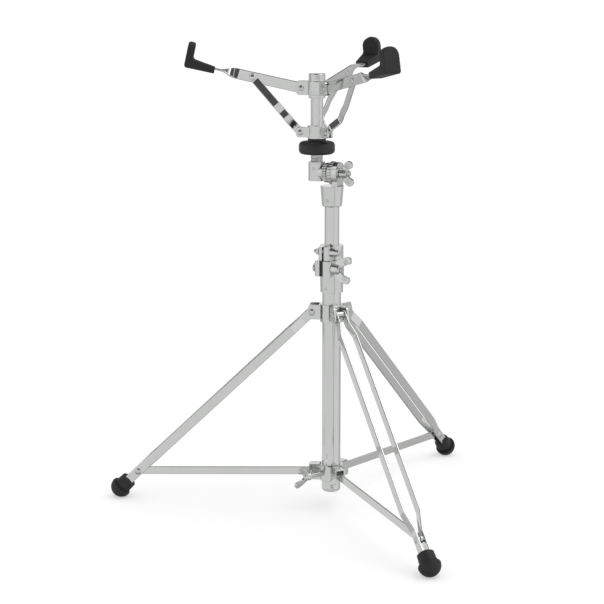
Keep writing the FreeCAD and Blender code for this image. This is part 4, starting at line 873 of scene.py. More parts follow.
def rib_shape(material: bpy.types.Material) -> NodeShape:
    """Round ribs that lie on a face at points, along their directions.

    Args:
        material: Their finish.

    Returns:
        The tree, with inputs in metres.
    """
    shape = NodeShape("grip_ribs", {"Radius": 0.0006, "Length": 0.008})
    values = {"Segments": RIB_SIDES, "Rings": RIB_SIDES, "Radius": 1.0}
    ball = shape.node("GeometryNodeMeshUVSphere", values)
    half = shape.node("ShaderNodeMath", {0: shape.value("Length"), 1: 0.5}, operation="MULTIPLY")
    stretch = shape.node(
        "ShaderNodeCombineXYZ",
        {"X": shape.value("Radius"), "Y": shape.value("Radius"), "Z": half.outputs[0]},
    )
    rib = shape.node("GeometryNodeTransform", {"Geometry": ball.outputs[0], "Scale": stretch.outputs[0]})
    shape.close(rib.outputs[0], material)
    return shape


@dataclass
class Wing:
    """A pair of cast wings beside an axis, in millimetres: where they spring from and how far they sweep."""

    frame: Matrix
    base: float
    span: float
    rise: float
    tip: float
    blade: float
    rib: float = 0.55
    rib_step: float = 2.1
    rib_count: int = 4
    rib_lead: float = 0.4

    def rib_places(self) -> Aimed:
        """Place the ribs on both faces of both wings.

        Returns:
            The ribs' middles and directions.
        """
        slant = math.sqrt(0.5)
        out: Aimed = []
        for side in (1, -1):
            for face in (1, -1):
                for number in range(self.rib_count):
                    back = (number - self.rib_lead) * self.rib_step * slant
                    x = side * (self.span - self.tip / 2 - back)
                    z = self.base + self.rise - self.tip / 2 - back
                    place = (x, face * self.blade / 2, z)
                    out.append(aimed(self.frame, place, (-side * slant, 0.0, slant)))
        return out


@dataclass
class Hardware:
    """The node trees of the stand's rivets, threads and ribs."""

    rivets: NodeShape | None = None
    threads: NodeShape | None = None
    ribs: NodeShape | None = None

    def make(self) -> None:
        """Build the trees once the finishes are there."""
        self.rivets = rivet_shape(FINISHES.materials[Slot.FASTENER])
        self.threads = thread_shape(FINISHES.materials[Slot.FASTENER])
        self.ribs = rib_shape(FINISHES.materials[Slot.CASTING])

    def rivet(self, name: str, body: str, nodes: list[str], heads: Aimed, sizes: tuple[float, ...]) -> None:
        """Put a body's rivets in place.

        Args:
            name: The piece's name.
            body: The body that carries them.
            nodes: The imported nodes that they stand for.
            heads: Where each head sits and the way that it faces.
            sizes: The shank's radius, its length behind a head, the head's radius and its height.
        """
        values = dict(zip(("Shank", "Length", "Head", "Dome"), sizes))
        show_piece(name, self.rivets.mesh(name, heads, values), Slot.FASTENER, body, nodes)

    def thread(self, name: str, body: str, axis: Matrix, ends: Point2, radius: float, pitch: float) -> None:
        """Wind a thread round a bolt's bare end.

        Args:
            name: The piece's name.
            body: The body that carries the bolt.
            axis: The bolt's frame, with Z along it.
            ends: Where the thread starts and ends along the bolt.
            radius: The bolt's radius.
            pitch: How far the thread climbs in a turn.
        """
        start, end = ends
        ridge = pitch * RIDGE_SHARE
        values = {"Radius": radius - ridge / 2, "Length": end - start, "Pitch": pitch, "Ridge": ridge}
        mesh = self.threads.mesh(name, [aimed(axis, (0, 0, start), (0, 0, 1))], values)
        show_piece(name, mesh, Slot.FASTENER, body, [])

    def wing_ribs(self, name: str, body: str, wing: Wing) -> None:
        """Lay ribs across the tips of a pair of wings."""
        mesh = self.ribs.mesh(name, wing.rib_places(), {"Radius": wing.rib, "Length": wing.tip})
        show_piece(name, mesh, Slot.CASTING, body, [])


HARDWARE = Hardware()


@dataclass
class Tripod:
    """The main tube, the sliding hub and the folding legs, braces and feet, in millimetres."""

    tube_radius: float = 14.3
    tube_wall: float = 1.5
    tube_ends: Point2 = (28.0, 357.0)
    pivot_radius: float = 29.0
    pivot_height: float = 306.0
    foot_spread: float = 331.0
    ball_radius: float = 16.5
    ball_steps: int = 24
    floor_flat: float = 0.5
    bar_width: float = 14.0
    bar_thick: float = 3.0
    top_spacing: float = 14.0
    # How far apart each leg's bars run: the rear leg's are closer, so that they overlap as in the photograph.
    spacings: Point3 = (25.0, 25.0, 22.8)
    foot_spacing: float = 11.0
    joggle_start: float = 19.0
    joggle: float = 21.0
    foot_joggle: float = 30.0
    foot_lead: float = 12.0
    rivet_to_ball: float = 40.0
    bar_above_ball: float = 4.0
    bend_radius: float = 14.0
    bar_edge: float = 1.1
    sleeve_radius: float = 13.2
    sleeve_top: float = 17.5
    shoulder: float = 1.0
    sleeve_end: float = 12.3
    dome_radius: float = 8.4
    dome: float = 2.4
    # The rounds of the dome, the sleeve's end, the step to the lip and the lip.
    sleeve_rounds: tuple[float, ...] = (2.0, 1.2, 0.5, 0.6)
    sleeve_steps: int = 4
    ear_face: float = 11.8
    ear_rivet: tuple[float, ...] = (3.0, 3.0, 5.2, 1.8)
    brace_pivot: Point2 = (27.5, 54.0)
    hub_radii: Point2 = (14.6, 18.5)
    hub_height: float = 24.0
    hub_round: float = 0.8
    hub_root: float = 16.0
    hub_reach: float = 34.0
    hub_corner: float = 3.0
    hub_sheet: float = 2.6
    hub_arm_width: float = 17.0
    hub_pin: tuple[float, ...] = (2.5, 8.5, 4.0, 1.2)
    brace_width: float = 12.4
    brace_thick: float = 3.0
    bolt_azimuth: float = 218.0
    bolt_radius: float = 4.0
    bolt_bare: Point2 = (19.0, 41.3)
    bolt_pitch: float = 1.6
    # The wings' base along the bolt, their span, rise, tip and blade.
    wing: tuple[float, ...] = (42.5, 16.5, 22.0, 8.0, 4.0)
    wing_turn: float = -20.0

    def ball_height(self) -> float:
        """How high the foot's ball stands with its flat on the floor."""
        return self.ball_radius - self.floor_flat

    def leg_length(self) -> float:
        """From the hub's pivot to the ball's middle."""
        return math.hypot(self.foot_spread - self.pivot_radius, self.pivot_height - self.ball_height())

    def slope(self) -> float:
        """How far the leg points below the horizon, in radians."""
        return math.atan2(self.pivot_height - self.ball_height(), self.foot_spread - self.pivot_radius)

    def leg_frame(self, azimuth: float) -> Matrix:
        """The frame with its origin on the hub's pivot and X down the leg."""
        out = moved(self.pivot_radius, 0, self.pivot_height)
        return spin(azimuth, "Z") @ out @ Matrix.Rotation(self.slope(), 4, "Y")

    def reach(self) -> float:
        """From the hub's pivot to the brace's rivet."""
        return self.leg_length() - self.rivet_to_ball

    def main_tube(self) -> None:
        """The main tube, with eased rims."""
        mesh = finished("main_tube", tube(self.tube_radius, self.tube_wall, self.tube_ends), Matrix())
        show_piece("main_tube", mesh, Slot.STEEL, "base", ["lower_tube"])

    def bar(self, side: int, spacing: float) -> bmesh.types.BMesh:
        """One of a leg's two bars, in the leg's frame.

        Args:
            side: 1 or -1.
            spacing: How far apart the two bars run.

        Returns:
            The shape, in millimetres.
        """
        radius = self.bar_width / 2
        end = self.leg_length() - self.bar_above_ball
        bend = self.reach() - self.foot_lead
        top, middle, foot = (side * s / 2 for s in (self.top_spacing, spacing, self.foot_spacing))
        path = [
            (-radius, top),
            (self.joggle_start, top),
            (self.joggle_start + self.joggle, middle),
            (bend - self.foot_joggle, middle),
            (bend, foot),
            (end, foot),
        ]
        smooth = eased(path, self.bend_radius)
        places = end_widths(-radius, 0.0, radius)
        places += [(x, radius) for x, _ in smooth if x > 0]
        return bent_bar(smooth, places, self.bar_thick, self.bar_edge)

    def leg(self, number: int, azimuth: float) -> None:
        """A leg's two bars.

        Args:
            number: The leg's number.
            azimuth: Its direction, in degrees.
        """
        spacing = self.spacings[number - 1]
        shape = joined([self.bar(1, spacing), self.bar(-1, spacing)])
        mesh = finished(f"leg_{number}", shape, self.leg_frame(azimuth))
        show_piece(f"leg_{number}_flat_bars", mesh, Slot.STEEL, f"leg_{number}", [f"leg_{number}_bars"])

    def brace(self, number: int, azimuth: float) -> None:
        """A flat brace from the sliding hub to the leg.

        Args:
            number: The leg's number.
            azimuth: Its direction, in degrees.
        """
        slope = self.slope()
        rivet = Vector((
            self.pivot_radius + self.reach() * math.cos(slope),
            self.pivot_height - self.reach() * math.sin(slope),
        ))
        run = rivet - Vector(self.brace_pivot)
        radius = self.brace_width / 2
        places = end_widths(-radius, 0.0, radius)
        places += end_widths(run.length + radius, run.length, radius)[::-1]
        shape = bent_bar([(-radius, 0), (run.length + radius, 0)], places, self.brace_thick, self.bar_edge)
        place = spin(azimuth, "Z") @ moved(self.brace_pivot[0], 0, self.brace_pivot[1])
        mesh = finished(f"brace_{number}", shape, place @ dipped(run))
        show_piece(f"brace_{number}_flat_bar", mesh, Slot.STEEL, f"brace_{number}", [f"brace_{number}"])

    def foot(self, number: int, azimuth: float) -> None:
        """A rubber foot: a domed sleeve round the bars and a ball with a stepped lip, flat on the floor.

        Args:
            number: The leg's number.
            azimuth: Its direction, in degrees.
        """
        top = -self.sleeve_top
        lip = -self.shoulder
        rim = math.sqrt(self.ball_radius ** 2 - self.shoulder ** 2)
        outline = [
            (0, top - self.dome),
            (self.dome_radius, top - self.dome),
            (self.sleeve_end, top),
            (self.sleeve_radius, lip),
            (rim, lip),
        ]
        profile = rounded(outline, dict(enumerate(self.sleeve_rounds, start=1)), self.sleeve_steps)
        start = math.asin(lip / self.ball_radius)
        for step in range(1, self.ball_steps + 1):
            angle = start + (math.pi / 2 - start) * step / self.ball_steps
            profile.append((self.ball_radius * math.cos(angle), self.ball_radius * math.sin(angle)))
        axis = self.leg_frame(azimuth) @ moved(self.leg_length(), 0, 0) @ spin(90, "Y")
        mesh = finished(f"foot_{number}", lathe(profile, FOOT_SEGMENTS), axis)
        for vertex in mesh.vertices:
            vertex.co.z = max(vertex.co.z, 0.0)
        show_piece(f"foot_{number}_rubber", mesh, Slot.RUBBER, f"leg_{number}", [f"foot_{number}"])

    def channel(self, azimuth: float) -> bmesh.types.BMesh:
        """A roofed channel of the sliding hub: two cheeks and a roof with rounded outer corners.

        Args:
            azimuth: The direction of its leg, in degrees.

        Returns:
            The shape, in millimetres.
        """
        level = self.brace_pivot[1]
        half = self.hub_height / 2
        up, aside = Vector((0, 0, 1)), Vector((0, 1, 0))
        inset = self.hub_reach - self.hub_corner
        cuts = [(self.hub_root, 0.0)]
        for angle in quarter_turn(BEND_STEPS):
            cuts.append((inset + self.hub_corner * math.sin(angle), self.hub_corner * (1 - math.cos(angle))))
        lateral = (self.hub_arm_width - self.hub_sheet) / 2
        roof = level + half - self.hub_sheet / 2
        sheets = [
            (aside * lateral, up, aside, half),
            (aside * -lateral, up, aside, half),
            (up * (roof - level), aside, up, self.hub_arm_width / 2),
        ]
        bars = []
        for shift, wide, thick, half_width in sheets:
            stations = []
            for x, cut in cuts:
                middle = Vector((x, 0, level)) + shift
                stations.append(Station(middle, wide, thick, half_width - cut, self.hub_sheet / 2))
            bars.append(flat_bar(stations, self.hub_round))
        shape = joined(bars)
        bmesh.ops.transform(shape, matrix=spin(azimuth, "Z"), verts=shape.verts)
        return shape

    def hub(self) -> None:
        """The sliding hub: a collar with a roofed channel for each brace."""
        level = self.brace_pivot[1]
        half = self.hub_height / 2
        ends = (level - half, level + half)
        shapes = [collar(self.hub_radii, ends, {1: self.hub_round, 2: self.hub_round})]
        shapes += [self.channel(azimuth) for azimuth in LEG_AZIMUTHS]
        mesh = finished("sliding_hub", joined(shapes), Matrix())
        show_piece("sliding_hub_channels", mesh, Slot.CASTING, "brace_hub", ["brace_hub"])

    def wing_bolt(self) -> None:
        """The tripod's wing bolt, with its cast edges melted, its bare thread and its wings' ribs."""
        body = "tripod_wing_bolt"
        show_piece("tripod_cast_wing_bolt", recast(body, CAST_EDGES), Slot.CASTING, body, [body])
        axis = spin(self.bolt_azimuth, "Z") @ moved(0, 0, self.brace_pivot[1]) @ spin(90, "Y")
        HARDWARE.thread("tripod_bolt_thread", body, axis, self.bolt_bare, self.bolt_radius, self.bolt_pitch)
        HARDWARE.wing_ribs("tripod_wing_ribs", body, Wing(axis @ spin(self.wing_turn, "Z"), *self.wing))

    def rivets(self) -> None:
        """The rivets in the leg hub's ears and the pins of the sliding hub."""
        ears: Aimed = []
        pins: Aimed = []
        for azimuth in LEG_AZIMUTHS:
            turn = spin(azimuth, "Z")
            for side in (1, -1):
                ear = (self.pivot_radius, side * self.ear_face, self.pivot_height)
                pin = (self.brace_pivot[0], side * self.hub_arm_width / 2, self.brace_pivot[1])
                ears.append(aimed(turn, ear, (0, side, 0)))
                pins.append(aimed(turn, pin, (0, side, 0)))
        HARDWARE.rivet("leg_ear_rivets", "base", ["leg_hub_rivets"], ears, self.ear_rivet)
        HARDWARE.rivet("sliding_hub_pins", "brace_hub", ["brace_hub_pins"], pins, self.hub_pin)

    def build(self) -> None:
        """Make every piece of the tripod."""
        self.main_tube()
        self.hub()
        self.wing_bolt()
        self.rivets()
        for number, azimuth in enumerate(LEG_AZIMUTHS, start=1):
            self.leg(number, azimuth)
            self.brace(number, azimuth)
            self.foot(number, azimuth)


@dataclass
class HeightAdjuster:
    """The sliding tube, the clamp's wing nut and the threads of clamp and memory lock, in millimetres."""

    tube_radius: float = 11.1
    tube_wall: float = 1.5
    tube_ends: Point2 = (160.0, 486.0)
    azimuth: float = -30.0
    bolt_reach: float = 23.0
    bolt_height: float = 375.5
    bolt_radius: float = 4.0
    bolt_bare: Point2 = (28.4, 30.6)
    bolt_pitch: float = 1.25
    # The wings' base along the bolt, their span, rise, tip and blade.
    wing: tuple[float, ...] = (18.55, 18.5, 25.0, 9.0, 5.0)
    wing_turn: float = -9.0
    screw_reach: float = 20.5
    screw_height: float = 400.0
    screw_radius: float = 2.6
    screw_bare: Point2 = (-17.8, -13.2)
    screw_pitch: float = 0.9

    def sliding_tube(self) -> None:
        """The tube that slides in the clamp."""
        mesh = finished("sliding_tube", tube(self.tube_radius, self.tube_wall, self.tube_ends), Matrix())
        show_piece("sliding_tube", mesh, Slot.STEEL, "upper_tube", ["upper_tube"])

    def bolt_axis(self, reach: float, height: float) -> Matrix:
        """The frame of a bolt through the lugs, with Z along it."""
        return spin(self.azimuth, "Z") @ moved(0, -reach, height) @ spin(90, "Y")

    def build(self) -> None:
        """Make every piece of the height adjustment."""
        self.sliding_tube()
        nut = "clamp_wing_nut"
        show_piece("clamp_cast_wing_nut", recast(nut, CAST_EDGES), Slot.CASTING, nut, [nut])
        bolt = self.bolt_axis(self.bolt_reach, self.bolt_height)
        HARDWARE.wing_ribs("clamp_wing_ribs", nut, Wing(bolt @ spin(self.wing_turn, "Z"), *self.wing))
        HARDWARE.thread("clamp_bolt_thread", "base", bolt, self.bolt_bare, self.bolt_radius, self.bolt_pitch)
        lock = "memory_lock_screw"
        axis = self.bolt_axis(self.screw_reach, self.screw_height)
        HARDWARE.thread("lock_screw_thread", lock, axis, self.screw_bare, self.screw_radius, self.screw_pitch)


@dataclass
class Basket:
    """The post, the crown's band, the handwheel and the folding arms, struts and grips, in millimetres."""

    post_offset: float = 25.0
    post_radius: float = 9.3
    post_ends: Point2 = (506.6, 659.0)
    post_round: float = 0.8
    thread_ends: Point2 = (528.0, 574.0)
    thread_pitch: float = 2.0
    thread_depth: float = 0.9
    wheel_radius: float = 27.0
    wheel_hole: float = 12.05
    wheel_neck: float = 13.5
    wheel_bottom: float = 543.1
    wheel_top: float = 561.8
    wheel_round: float = 6.0
    wheel_steps: int = 8
    neck_top: float = 566.1
    neck_round: float = 0.4
    crown_band: Point2 = (12.3, 14.6)
    crown_band_ends: Point2 = (630.8, 651.2)
    crown_band_round: float = 0.9
    arm_pivot: Point2 = (23.5, 641.0)
    arm_rise: float = 12.5
    arm_width: float = 15.8
    arm_thick: float = 3.0
    arm_edge: float = 1.2
    twist_start: float = 91.0
    twist: float = 30.0
    twist_steps: int = 24
    upturn_reach: float = 169.0
    upturn: float = 24.0
    upturn_bend: float = 3.0
    rivet_reach: float = 73.0
    strut_pivot: Point2 = (25.0, 576.0)
    strut_width: float = 12.0
    strut_thick: float = 3.0
    strut_lateral: float = 3.3
    strut_bow: float = 13.0
    bow_step: float = 11.2
    bow_places: tuple[float, ...] = (11.0, 25.0, 31.5, 41.5, 54.5, 101.0)
    bow_bend: float = 8.0
    ear_face: float = 4.8
    ear_pin: tuple[float, ...] = (2.5, 4.8, 4.2, 1.4)
    arm_rivet: tuple[float, ...] = (2.6, 3.0, 4.6, 1.5)
    strut_rivet: Point2 = (4.6, 1.5)

    def post_frame(self, azimuth: float = 0.0) -> Matrix:
        """The post's axis on the floor, turned towards an arm.

        Args:
            azimuth: The arm's direction, in degrees.

        Returns:
            The frame, in millimetres.
        """
        turn = math.radians(TILT_AZIMUTH)
        foot = moved(-self.post_offset * math.cos(turn), -self.post_offset * math.sin(turn), 0)
        return foot @ spin(azimuth, "Z")

    def post(self) -> None:
        """The rod that carries the basket, with its long thread."""
        radius = self.post_radius
        root = radius - self.thread_depth
        bottom, top = self.post_ends
        thread_bottom, thread_top = self.thread_ends
        outline = [
            (0, bottom),
            (radius, bottom),
            (radius, thread_bottom),
            (root, thread_bottom + self.thread_depth),
            (root, thread_top - self.thread_depth),
            (radius, thread_top),
            (radius, top),
            (0, top),
        ]
        shape = lathe(rounded(outline, {1: self.post_round, 6: self.post_round}, RIM_STEPS), TUBE_SEGMENTS)
        mesh = finished("post_rod", shape, self.post_frame())
        show_piece("post_rod", mesh, Slot.STEEL, "tilter_head", ["basket_post"])
        crest = radius - self.thread_pitch * RIDGE_SHARE / 2
        axis = self.post_frame()
        HARDWARE.thread("post_thread", "tilter_head", axis, self.thread_ends, crest, self.thread_pitch)

    def crown(self) -> None:
        """The stepped band round the crown, between its ears."""
        rounds = {1: self.crown_band_round, 2: self.crown_band_round}
        shape = collar(self.crown_band, self.crown_band_ends, rounds)
        mesh = finished("crown_cast_band", shape, self.post_frame())
        show_piece("crown_cast_band", mesh, Slot.CASTING, "tilter_head", [])

    def handwheel(self) -> None:
        """The black wheel under the slider, with a full round rim and a neck."""
        outline = [
            (self.wheel_hole, self.wheel_bottom),
            (self.wheel_radius, self.wheel_bottom),
            (self.wheel_radius, self.wheel_top),
            (self.wheel_neck, self.wheel_top),
            (self.wheel_neck, self.neck_top),
            (self.wheel_hole, self.neck_top),
        ]
        rounds = {1: self.wheel_round, 2: self.wheel_round, 4: self.neck_round}
        shape = lathe(rounded(outline, rounds, self.wheel_steps), TUBE_SEGMENTS, True)
        mesh = finished("handwheel_rim", shape, self.post_frame())
        show_piece("handwheel_rim", mesh, Slot.PLASTIC, "handwheel", ["handwheel"])

    def arm_frame(self, azimuth: float) -> Matrix:
        """The frame with its origin on the crown's pivot and X along the arm."""
        out = moved(self.arm_pivot[0], 0, self.arm_pivot[1])
        return self.post_frame(azimuth) @ out @ spin(-self.arm_rise, "Y")

    def arm_station(self, x: float, z: float, turn: float, lean: float, half_width: float) -> Station:
        """A cross-section of an arm.

        Args:
            x: Its place along the arm.
            z: Its height over the arm's line.
            turn: How far the arm has twisted there, in radians.
            lean: How far it leans up there, in radians.
            half_width: Half its width.

        Returns:
            The station, in the arm's frame.
        """
        wide = Vector((0, -math.sin(turn), math.cos(turn)))
        thick = Vector((0, math.cos(turn), math.sin(turn)))
        tip = Matrix.Rotation(-lean, 3, "Y")
        return Station(Vector((x, 0, z)), tip @ wide, tip @ thick, half_width, self.arm_thick / 2)

    def arm(self, number: int, azimuth: float) -> None:
        """A flat arm that twists from its edge to its face and turns up inside its grip.

        Args:
            number: The arm's number.
            azimuth: Its direction, in degrees.
        """
        radius = self.arm_width / 2
        stations = [self.arm_station(x, 0, 0, 0, half) for x, half in end_widths(-radius, 0.0, radius)]
        for step in range(self.twist_steps + 1):
            share = step / self.twist_steps
            # The twist starts and ends softly.
            turn = share * share * (3 - 2 * share) * math.pi / 2
            stations.append(self.arm_station(self.twist_start + share * self.twist, 0, turn, 0, radius))
        middle = self.upturn_reach - self.arm_thick / 2
        for lean in quarter_turn(BEND_STEPS):
            x = middle - self.upturn_bend + self.upturn_bend * math.sin(lean)
            z = self.upturn_bend * (1 - math.cos(lean))
            stations.append(self.arm_station(x, z, math.pi / 2, lean, radius))
        stations.append(self.arm_station(middle, self.upturn, math.pi / 2, math.pi / 2, radius))
        mesh = finished(f"arm_{number}", flat_bar(stations, self.arm_edge), self.arm_frame(azimuth))
        show_piece(f"arm_{number}_flat_bar", mesh, Slot.STEEL, f"arm_{number}", [f"arm_{number}"])

    def strut(self, number: int, azimuth: float) -> None:
        """A flat strut that bows aside past the crown's ears, with its rivet's head.

        Args:
            number: The arm's number.
            azimuth: Its direction, in degrees.
        """
        rise = math.radians(self.arm_rise)
        knee = Vector((
            self.arm_pivot[0] + self.rivet_reach * math.cos(rise),
            self.arm_pivot[1] + self.rivet_reach * math.sin(rise),
        ))
        run = knee - Vector(self.strut_pivot)
        radius = self.strut_width / 2
        flat, bow, step = self.strut_lateral, self.strut_bow, self.bow_step
        path = [(-radius, flat), *zip(self.bow_places, (flat, bow, bow, step, step, flat))]
        path.append((run.length + radius, flat))
        smooth = eased(path, self.bow_bend)
        places = end_widths(-radius, 0.0, radius)
        places += [(x, radius) for x, _ in smooth if 0 < x < run.length]
        places += end_widths(run.length + radius, run.length, radius)[::-1]
        bar = bent_bar(smooth, places, self.strut_thick, self.arm_edge)
        rim, height = self.strut_rivet
        dome = [(rim * math.cos(a), height * math.sin(a)) for a in quarter_turn(DOME_STEPS)]
        head = lathe([(0, 0)] + dome, HEAD_SEGMENTS)
        seat = moved(run.length, self.strut_lateral + self.strut_thick / 2, 0) @ spin(-90, "X")
        bmesh.ops.transform(head, matrix=seat, verts=head.verts)
        place = self.post_frame(azimuth) @ moved(self.strut_pivot[0], 0, self.strut_pivot[1])
        mesh = finished(f"strut_{number}", joined([bar, head]), place @ dipped(run))
        show_piece(f"strut_{number}_flat_bar", mesh, Slot.STEEL, f"strut_{number}", [f"strut_{number}"])

    def rivets(self) -> None:
        """The pins of the crown and the slider, and the rivet in each arm."""
        crown: Aimed = []
        slider: Aimed = []
        for number, azimuth in enumerate(ARM_AZIMUTHS, start=1):
            turn = self.post_frame(azimuth)
            for side in (1, -1):
                high = (self.arm_pivot[0], side * self.ear_face, self.arm_pivot[1])
                low = (self.strut_pivot[0], self.strut_lateral + side * self.ear_face, self.strut_pivot[1])
                crown.append(aimed(turn, high, (0, side, 0)))
                slider.append(aimed(turn, low, (0, side, 0)))
            head = [aimed(self.arm_frame(azimuth), (self.rivet_reach, -self.arm_thick / 2, 0), (0, -1, 0))]
            body = f"arm_{number}"
            HARDWARE.rivet(f"{body}_rivet_head", body, [f"{body}_rivet"], head, self.arm_rivet)
        HARDWARE.rivet("crown_ear_pins", "tilter_head", ["crown_pins"], crown, self.ear_pin)
        HARDWARE.rivet("slider_ear_pins", "basket_slider", ["slider_pins"], slider, self.ear_pin)

    def grip(self, number: int) -> None:
        """A rubber grip on an arm's end, with its moulded edges melted."""
        mesh = recast(f"arm_tip_{number}", MOULDED_EDGES)
        show_piece(f"arm_{number}_rubber_grip", mesh, Slot.RUBBER, f"arm_{number}", [f"arm_tip_{number}"])

    def build(self) -> None:
        """Make every piece of the basket."""
        self.post()
        self.crown()
        self.handwheel()
        self.rivets()
        for number, azimuth in enumerate(ARM_AZIMUTHS, start=1):
            self.arm(number, azimuth)
            self.strut(number, azimuth)
            self.grip(number)


@dataclass
class Tilter:
    """The tilter's wing nut and stud, the teeth of its disc and the flutes of its neck, in millimetres."""

    height: float = 516.0
    stud_radius: float = 4.0
    stud_bare: Point2 = (24.6, 28.5)
    stud_pitch: float = 1.25
    # The wings' base along the stud, their span, rise, tip and blade.
    wing: tuple[float, ...] = (16.2, 17.5, 16.0, 9.0, 5.0)
    wing_turn: float = 10.0
    disc: Point2 = (-1.65, 4.85)
    disc_radius: float = 16.4
    tooth: float = 1.2
    tooth_count: int = 26
    neck: Point2 = (-12.6, -1.6)
    neck_radius: float = 13.0
    flute: float = 1.9
    flute_count: int = 22

    def teeth(self, name: str, axis: Matrix, ends: Point2, ring: float, tooth: float, count: int) -> None:
        """A ring of teeth round the tilting head.

        Args:
            name: The piece's name.
            axis: The tilting axis, along Z.
            ends: Where the teeth start and end along it.
            ring: The radius that their middles stand on.
            tooth: A tooth's radius.
            count: How many stand round the axis.
        """
        near, far = ends
        places: Aimed = []
        for number in range(count):
            angle = 2 * math.pi * number / count
            place = (ring * math.cos(angle), ring * math.sin(angle), (near + far) / 2)
            places.append(aimed(axis, place, (0, 0, 1)))
        mesh = HARDWARE.ribs.mesh(name, places, {"Radius": tooth, "Length": far - near})
        show_piece(name, mesh, Slot.CASTING, "tilter_head", [])

    def build(self) -> None:
        """Make every piece of the tilter."""
        nut, head = "tilt_wing_nut", "tilter_head"
        show_piece("tilt_cast_wing_nut", recast(nut, CAST_EDGES), Slot.CASTING, nut, [nut])
        axis = spin(TILT_AZIMUTH, "Z") @ moved(0, 0, self.height) @ spin(90, "Y")
        HARDWARE.thread("tilt_stud_thread", head, axis, self.stud_bare, self.stud_radius, self.stud_pitch)
        HARDWARE.wing_ribs("tilt_wing_ribs", nut, Wing(axis @ spin(self.wing_turn, "Z"), *self.wing))
        self.teeth("tilt_disc_teeth", axis, self.disc, self.disc_radius, self.tooth, self.tooth_count)
        self.teeth("tilt_neck_flutes", axis, self.neck, self.neck_radius, self.flute, self.flute_count)


@dataclass(frozen=True)
class Card:
    """A grey card that shows only in the chrome, in metres and linear light; it faces the stand."""

    name: str
    centre: Point3
    size: Point2
    level: float


# Dark cards draw the chrome's dark bands and edge lines, and the low one lightens the front leg's faces.
CARDS = (
    Card("back_card", (0.0, 1.3, 1.35), (4.2, 1.4), 0.24),
    Card("front_card", (-0.35, -2.2, 1.58), (2.4, 1.75), 0.1),
    Card("top_card", (-0.1, -0.6, 2.7), (2.2, 1.9), 0.1),
    Card("left_card", (-2.0, -0.35, 1.75), (1.7, 1.1), 0.12),
    Card("low_card", (-1.38, 0.96, -0.47), (1.6, 0.7), 0.84),
)


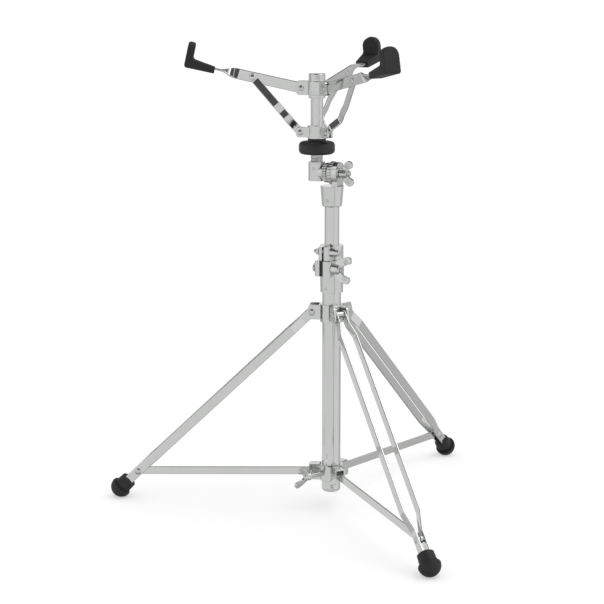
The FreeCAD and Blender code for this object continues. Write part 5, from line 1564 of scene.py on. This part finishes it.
@dataclass
class Studio:
    """The floor, the light and the camera, in metres."""

    camera_place: Point3 = (0.0, -2.41, 0.81385)
    camera_turn: float = 0.01859
    camera_dip: float = 0.20213
    focal_px: float = 1628.6
    sensor_mm: float = 36.0
    floor_size: float = 120.0
    floor_colour: str = "FFFFFF"
    floor_glow_share: float = 0.45
    sun_energy: float = 0.6
    sun_width: float = 44.0
    sun_way: Point3 = (-0.42, 0.05, -1.0)
    stand_middle: Point3 = (0.0, 0.0, 0.45)
    ambient: float = 0.9
    sky: float = 0.93
    sky_edge: Point2 = (-0.06, -0.03)
    pit: float = 0.42
    pit_edge: Point2 = (-0.55, -0.8)
    # Bearing in degrees and level of the grey that the chrome sees round the horizon.
    ring: tuple[Point2, ...] = (
        (-180.0, 0.84), (-96.0, 0.84), (-66.0, 0.83), (-61.0, 0.46), (-56.0, 0.86), (8.0, 0.88), (18.0, 0.62),
        (60.0, 0.6), (120.0, 0.6), (160.0, 0.6), (172.0, 0.8), (180.0, 0.84),
    )

    def camera(self) -> None:
        """A camera at the photograph's place and angle."""
        data = bpy.data.cameras.new("camera")
        data.sensor_width = self.sensor_mm
        data.lens = self.focal_px / PICTURE_PX * self.sensor_mm
        camera = linked("camera", data)
        camera.location = self.camera_place
        ahead = Vector((
            -math.sin(self.camera_turn) * math.cos(self.camera_dip),
            math.cos(self.camera_turn) * math.cos(self.camera_dip),
            -math.sin(self.camera_dip),
        ))
        point_axis(camera, "-Z", ahead)
        bpy.context.scene.camera = camera

    def plate(self, name: str, size: Point2, material: bpy.types.Material) -> bpy.types.Object:
        """A flat rectangle about the origin that isn't part of the stand.

        Args:
            name: Its name.
            size: Its width and height.
            material: Its material.

        Returns:
            The object.
        """
        x, y = size[0] / 2, size[1] / 2
        mesh = bpy.data.meshes.new(name)
        mesh.from_pydata([(-x, -y, 0), (x, -y, 0), (x, y, 0), (-x, y, 0)], [], [(0, 1, 2, 3)])
        mesh.materials.append(material)
        plate = linked(name, mesh)
        return plate

    def floor(self) -> None:
        """A plain white floor that keeps the stand's faint shadow."""
        material = bpy.data.materials.new("matt_white_floor")
        tree = bare_tree(material)
        white = linear(self.floor_colour)
        matt = add_node(tree, "ShaderNodeBsdfDiffuse", {"Color": white})
        glow = add_node(tree, "ShaderNodeEmission", {"Color": white, "Strength": 1.0})
        path = add_node(tree, "ShaderNodeLightPath")
        share = add_node(
            tree,
            "ShaderNodeMath",
            {0: path.outputs["Is Camera Ray"], 1: self.floor_glow_share},
            operation="MULTIPLY",
        )
        mixed = add_node(
            tree, "ShaderNodeMixShader", {0: share.outputs[0], 1: matt.outputs[0], 2: glow.outputs[0]}
        )
        add_node(tree, "ShaderNodeOutputMaterial", {"Surface": mixed.outputs[0]})
        floor = self.plate("floor", (self.floor_size, self.floor_size), material)
        # The chrome sees the surround in place of the floor.
        floor.visible_glossy = False

    def card(self, card: Card) -> None:
        """Hang a card, out of the camera's sight and of all light but mirrored light.

        Args:
            card: The card's place, size and level.
        """
        material = bpy.data.materials.new(card.name)
        tree = bare_tree(material)
        glow = add_node(tree, "ShaderNodeEmission", {"Color": grey(card.level), "Strength": 1.0})
        add_node(tree, "ShaderNodeOutputMaterial", {"Surface": glow.outputs[0]})
        sheet = self.plate(card.name, card.size, material)
        sheet.location = card.centre
        point_axis(sheet, "Z", Vector(self.stand_middle) - Vector(card.centre))
        sheet.visible_camera = False
        sheet.visible_diffuse = False
        sheet.visible_shadow = False
        sheet.visible_transmission = False

    def world(self) -> None:
        """A white surround, in which the chrome sees a bright sky, a grey back, a dark seam and a dim pit."""
        world = bpy.data.worlds.new("white_surround")
        bpy.context.scene.world = world
        tree = bare_tree(world)
        path = add_node(tree, "ShaderNodeLightPath")
        way = add_node(tree, "ShaderNodeTexCoord")
        parts = add_node(tree, "ShaderNodeSeparateXYZ", {0: way.outputs["Generated"]})
        x, y, z = parts.outputs
        turn = add_node(tree, "ShaderNodeMath", {0: y, 1: x}, operation="ARCTAN2")
        values = {"Value": turn.outputs[0], "From Min": -math.pi, "From Max": math.pi}
        place = add_node(tree, "ShaderNodeMapRange", values)
        ring = add_node(tree, "ShaderNodeValToRGB", {0: place.outputs[0]})
        while len(ring.color_ramp.elements) < len(self.ring):
            ring.color_ramp.elements.new(1.0)
        for element, (degrees, level) in zip(ring.color_ramp.elements, self.ring):
            element.position = (degrees + 180.0) / 360.0
            element.color = grey(level)
        seen = ring.outputs[0]
        for (start, end), level in ((self.pit_edge, self.pit), (self.sky_edge, self.sky)):
            share = add_node(tree, "ShaderNodeMapRange", {"Value": z, "From Min": start, "From Max": end})
            values = {"Factor": share.outputs[0], MIX_FIRST: seen, MIX_SECOND: grey(level)}
            seen = add_node(tree, "ShaderNodeMix", values, data_type="RGBA").outputs[MIX_RESULT]
        clear = add_node(
            tree,
            "ShaderNodeMath",
            {0: path.outputs["Is Camera Ray"], 1: path.outputs["Is Transmission Ray"]},
            operation="MAXIMUM",
        )
        values = {"Value": clear.outputs[0], "To Min": self.ambient, "To Max": 1.0}
        plain = add_node(tree, "ShaderNodeMapRange", values)
        values = {"Factor": path.outputs["Is Glossy Ray"], MIX_FIRST: plain.outputs[0], MIX_SECOND: seen}
        colour = add_node(tree, "ShaderNodeMix", values, data_type="RGBA").outputs[MIX_RESULT]
        light = add_node(tree, "ShaderNodeBackground", {"Color": colour, "Strength": 1.0})
        add_node(tree, "ShaderNodeOutputWorld", {"Surface": light.outputs[0]})

    def sun(self) -> None:
        """A wide soft light from the upper right, for the shadow and the bright edges of the front leg."""
        data = bpy.data.lights.new("window", "SUN")
        data.energy = self.sun_energy
        data.angle = math.radians(self.sun_width)
        point_axis(linked("window", data), "-Z", Vector(self.sun_way))

    def build(self) -> None:
        """Set up the whole studio."""
        self.camera()
        self.floor()
        self.world()
        self.sun()
        for card in CARDS:
            self.card(card)
        bpy.context.scene.view_settings.view_transform = "Standard"


def main() -> None:
    """Dress the frame, then build the sub-assemblies and the studio in order."""
    FINISHES.make()
    FINISHES.dress_frame()
    HARDWARE.make()
    for assembly in (Tripod(), HeightAdjuster(), Tilter(), Basket(), Studio()):
        log.info("building %s", type(assembly).__name__)
        assembly.build()


if __name__ == "__main__":
    main()
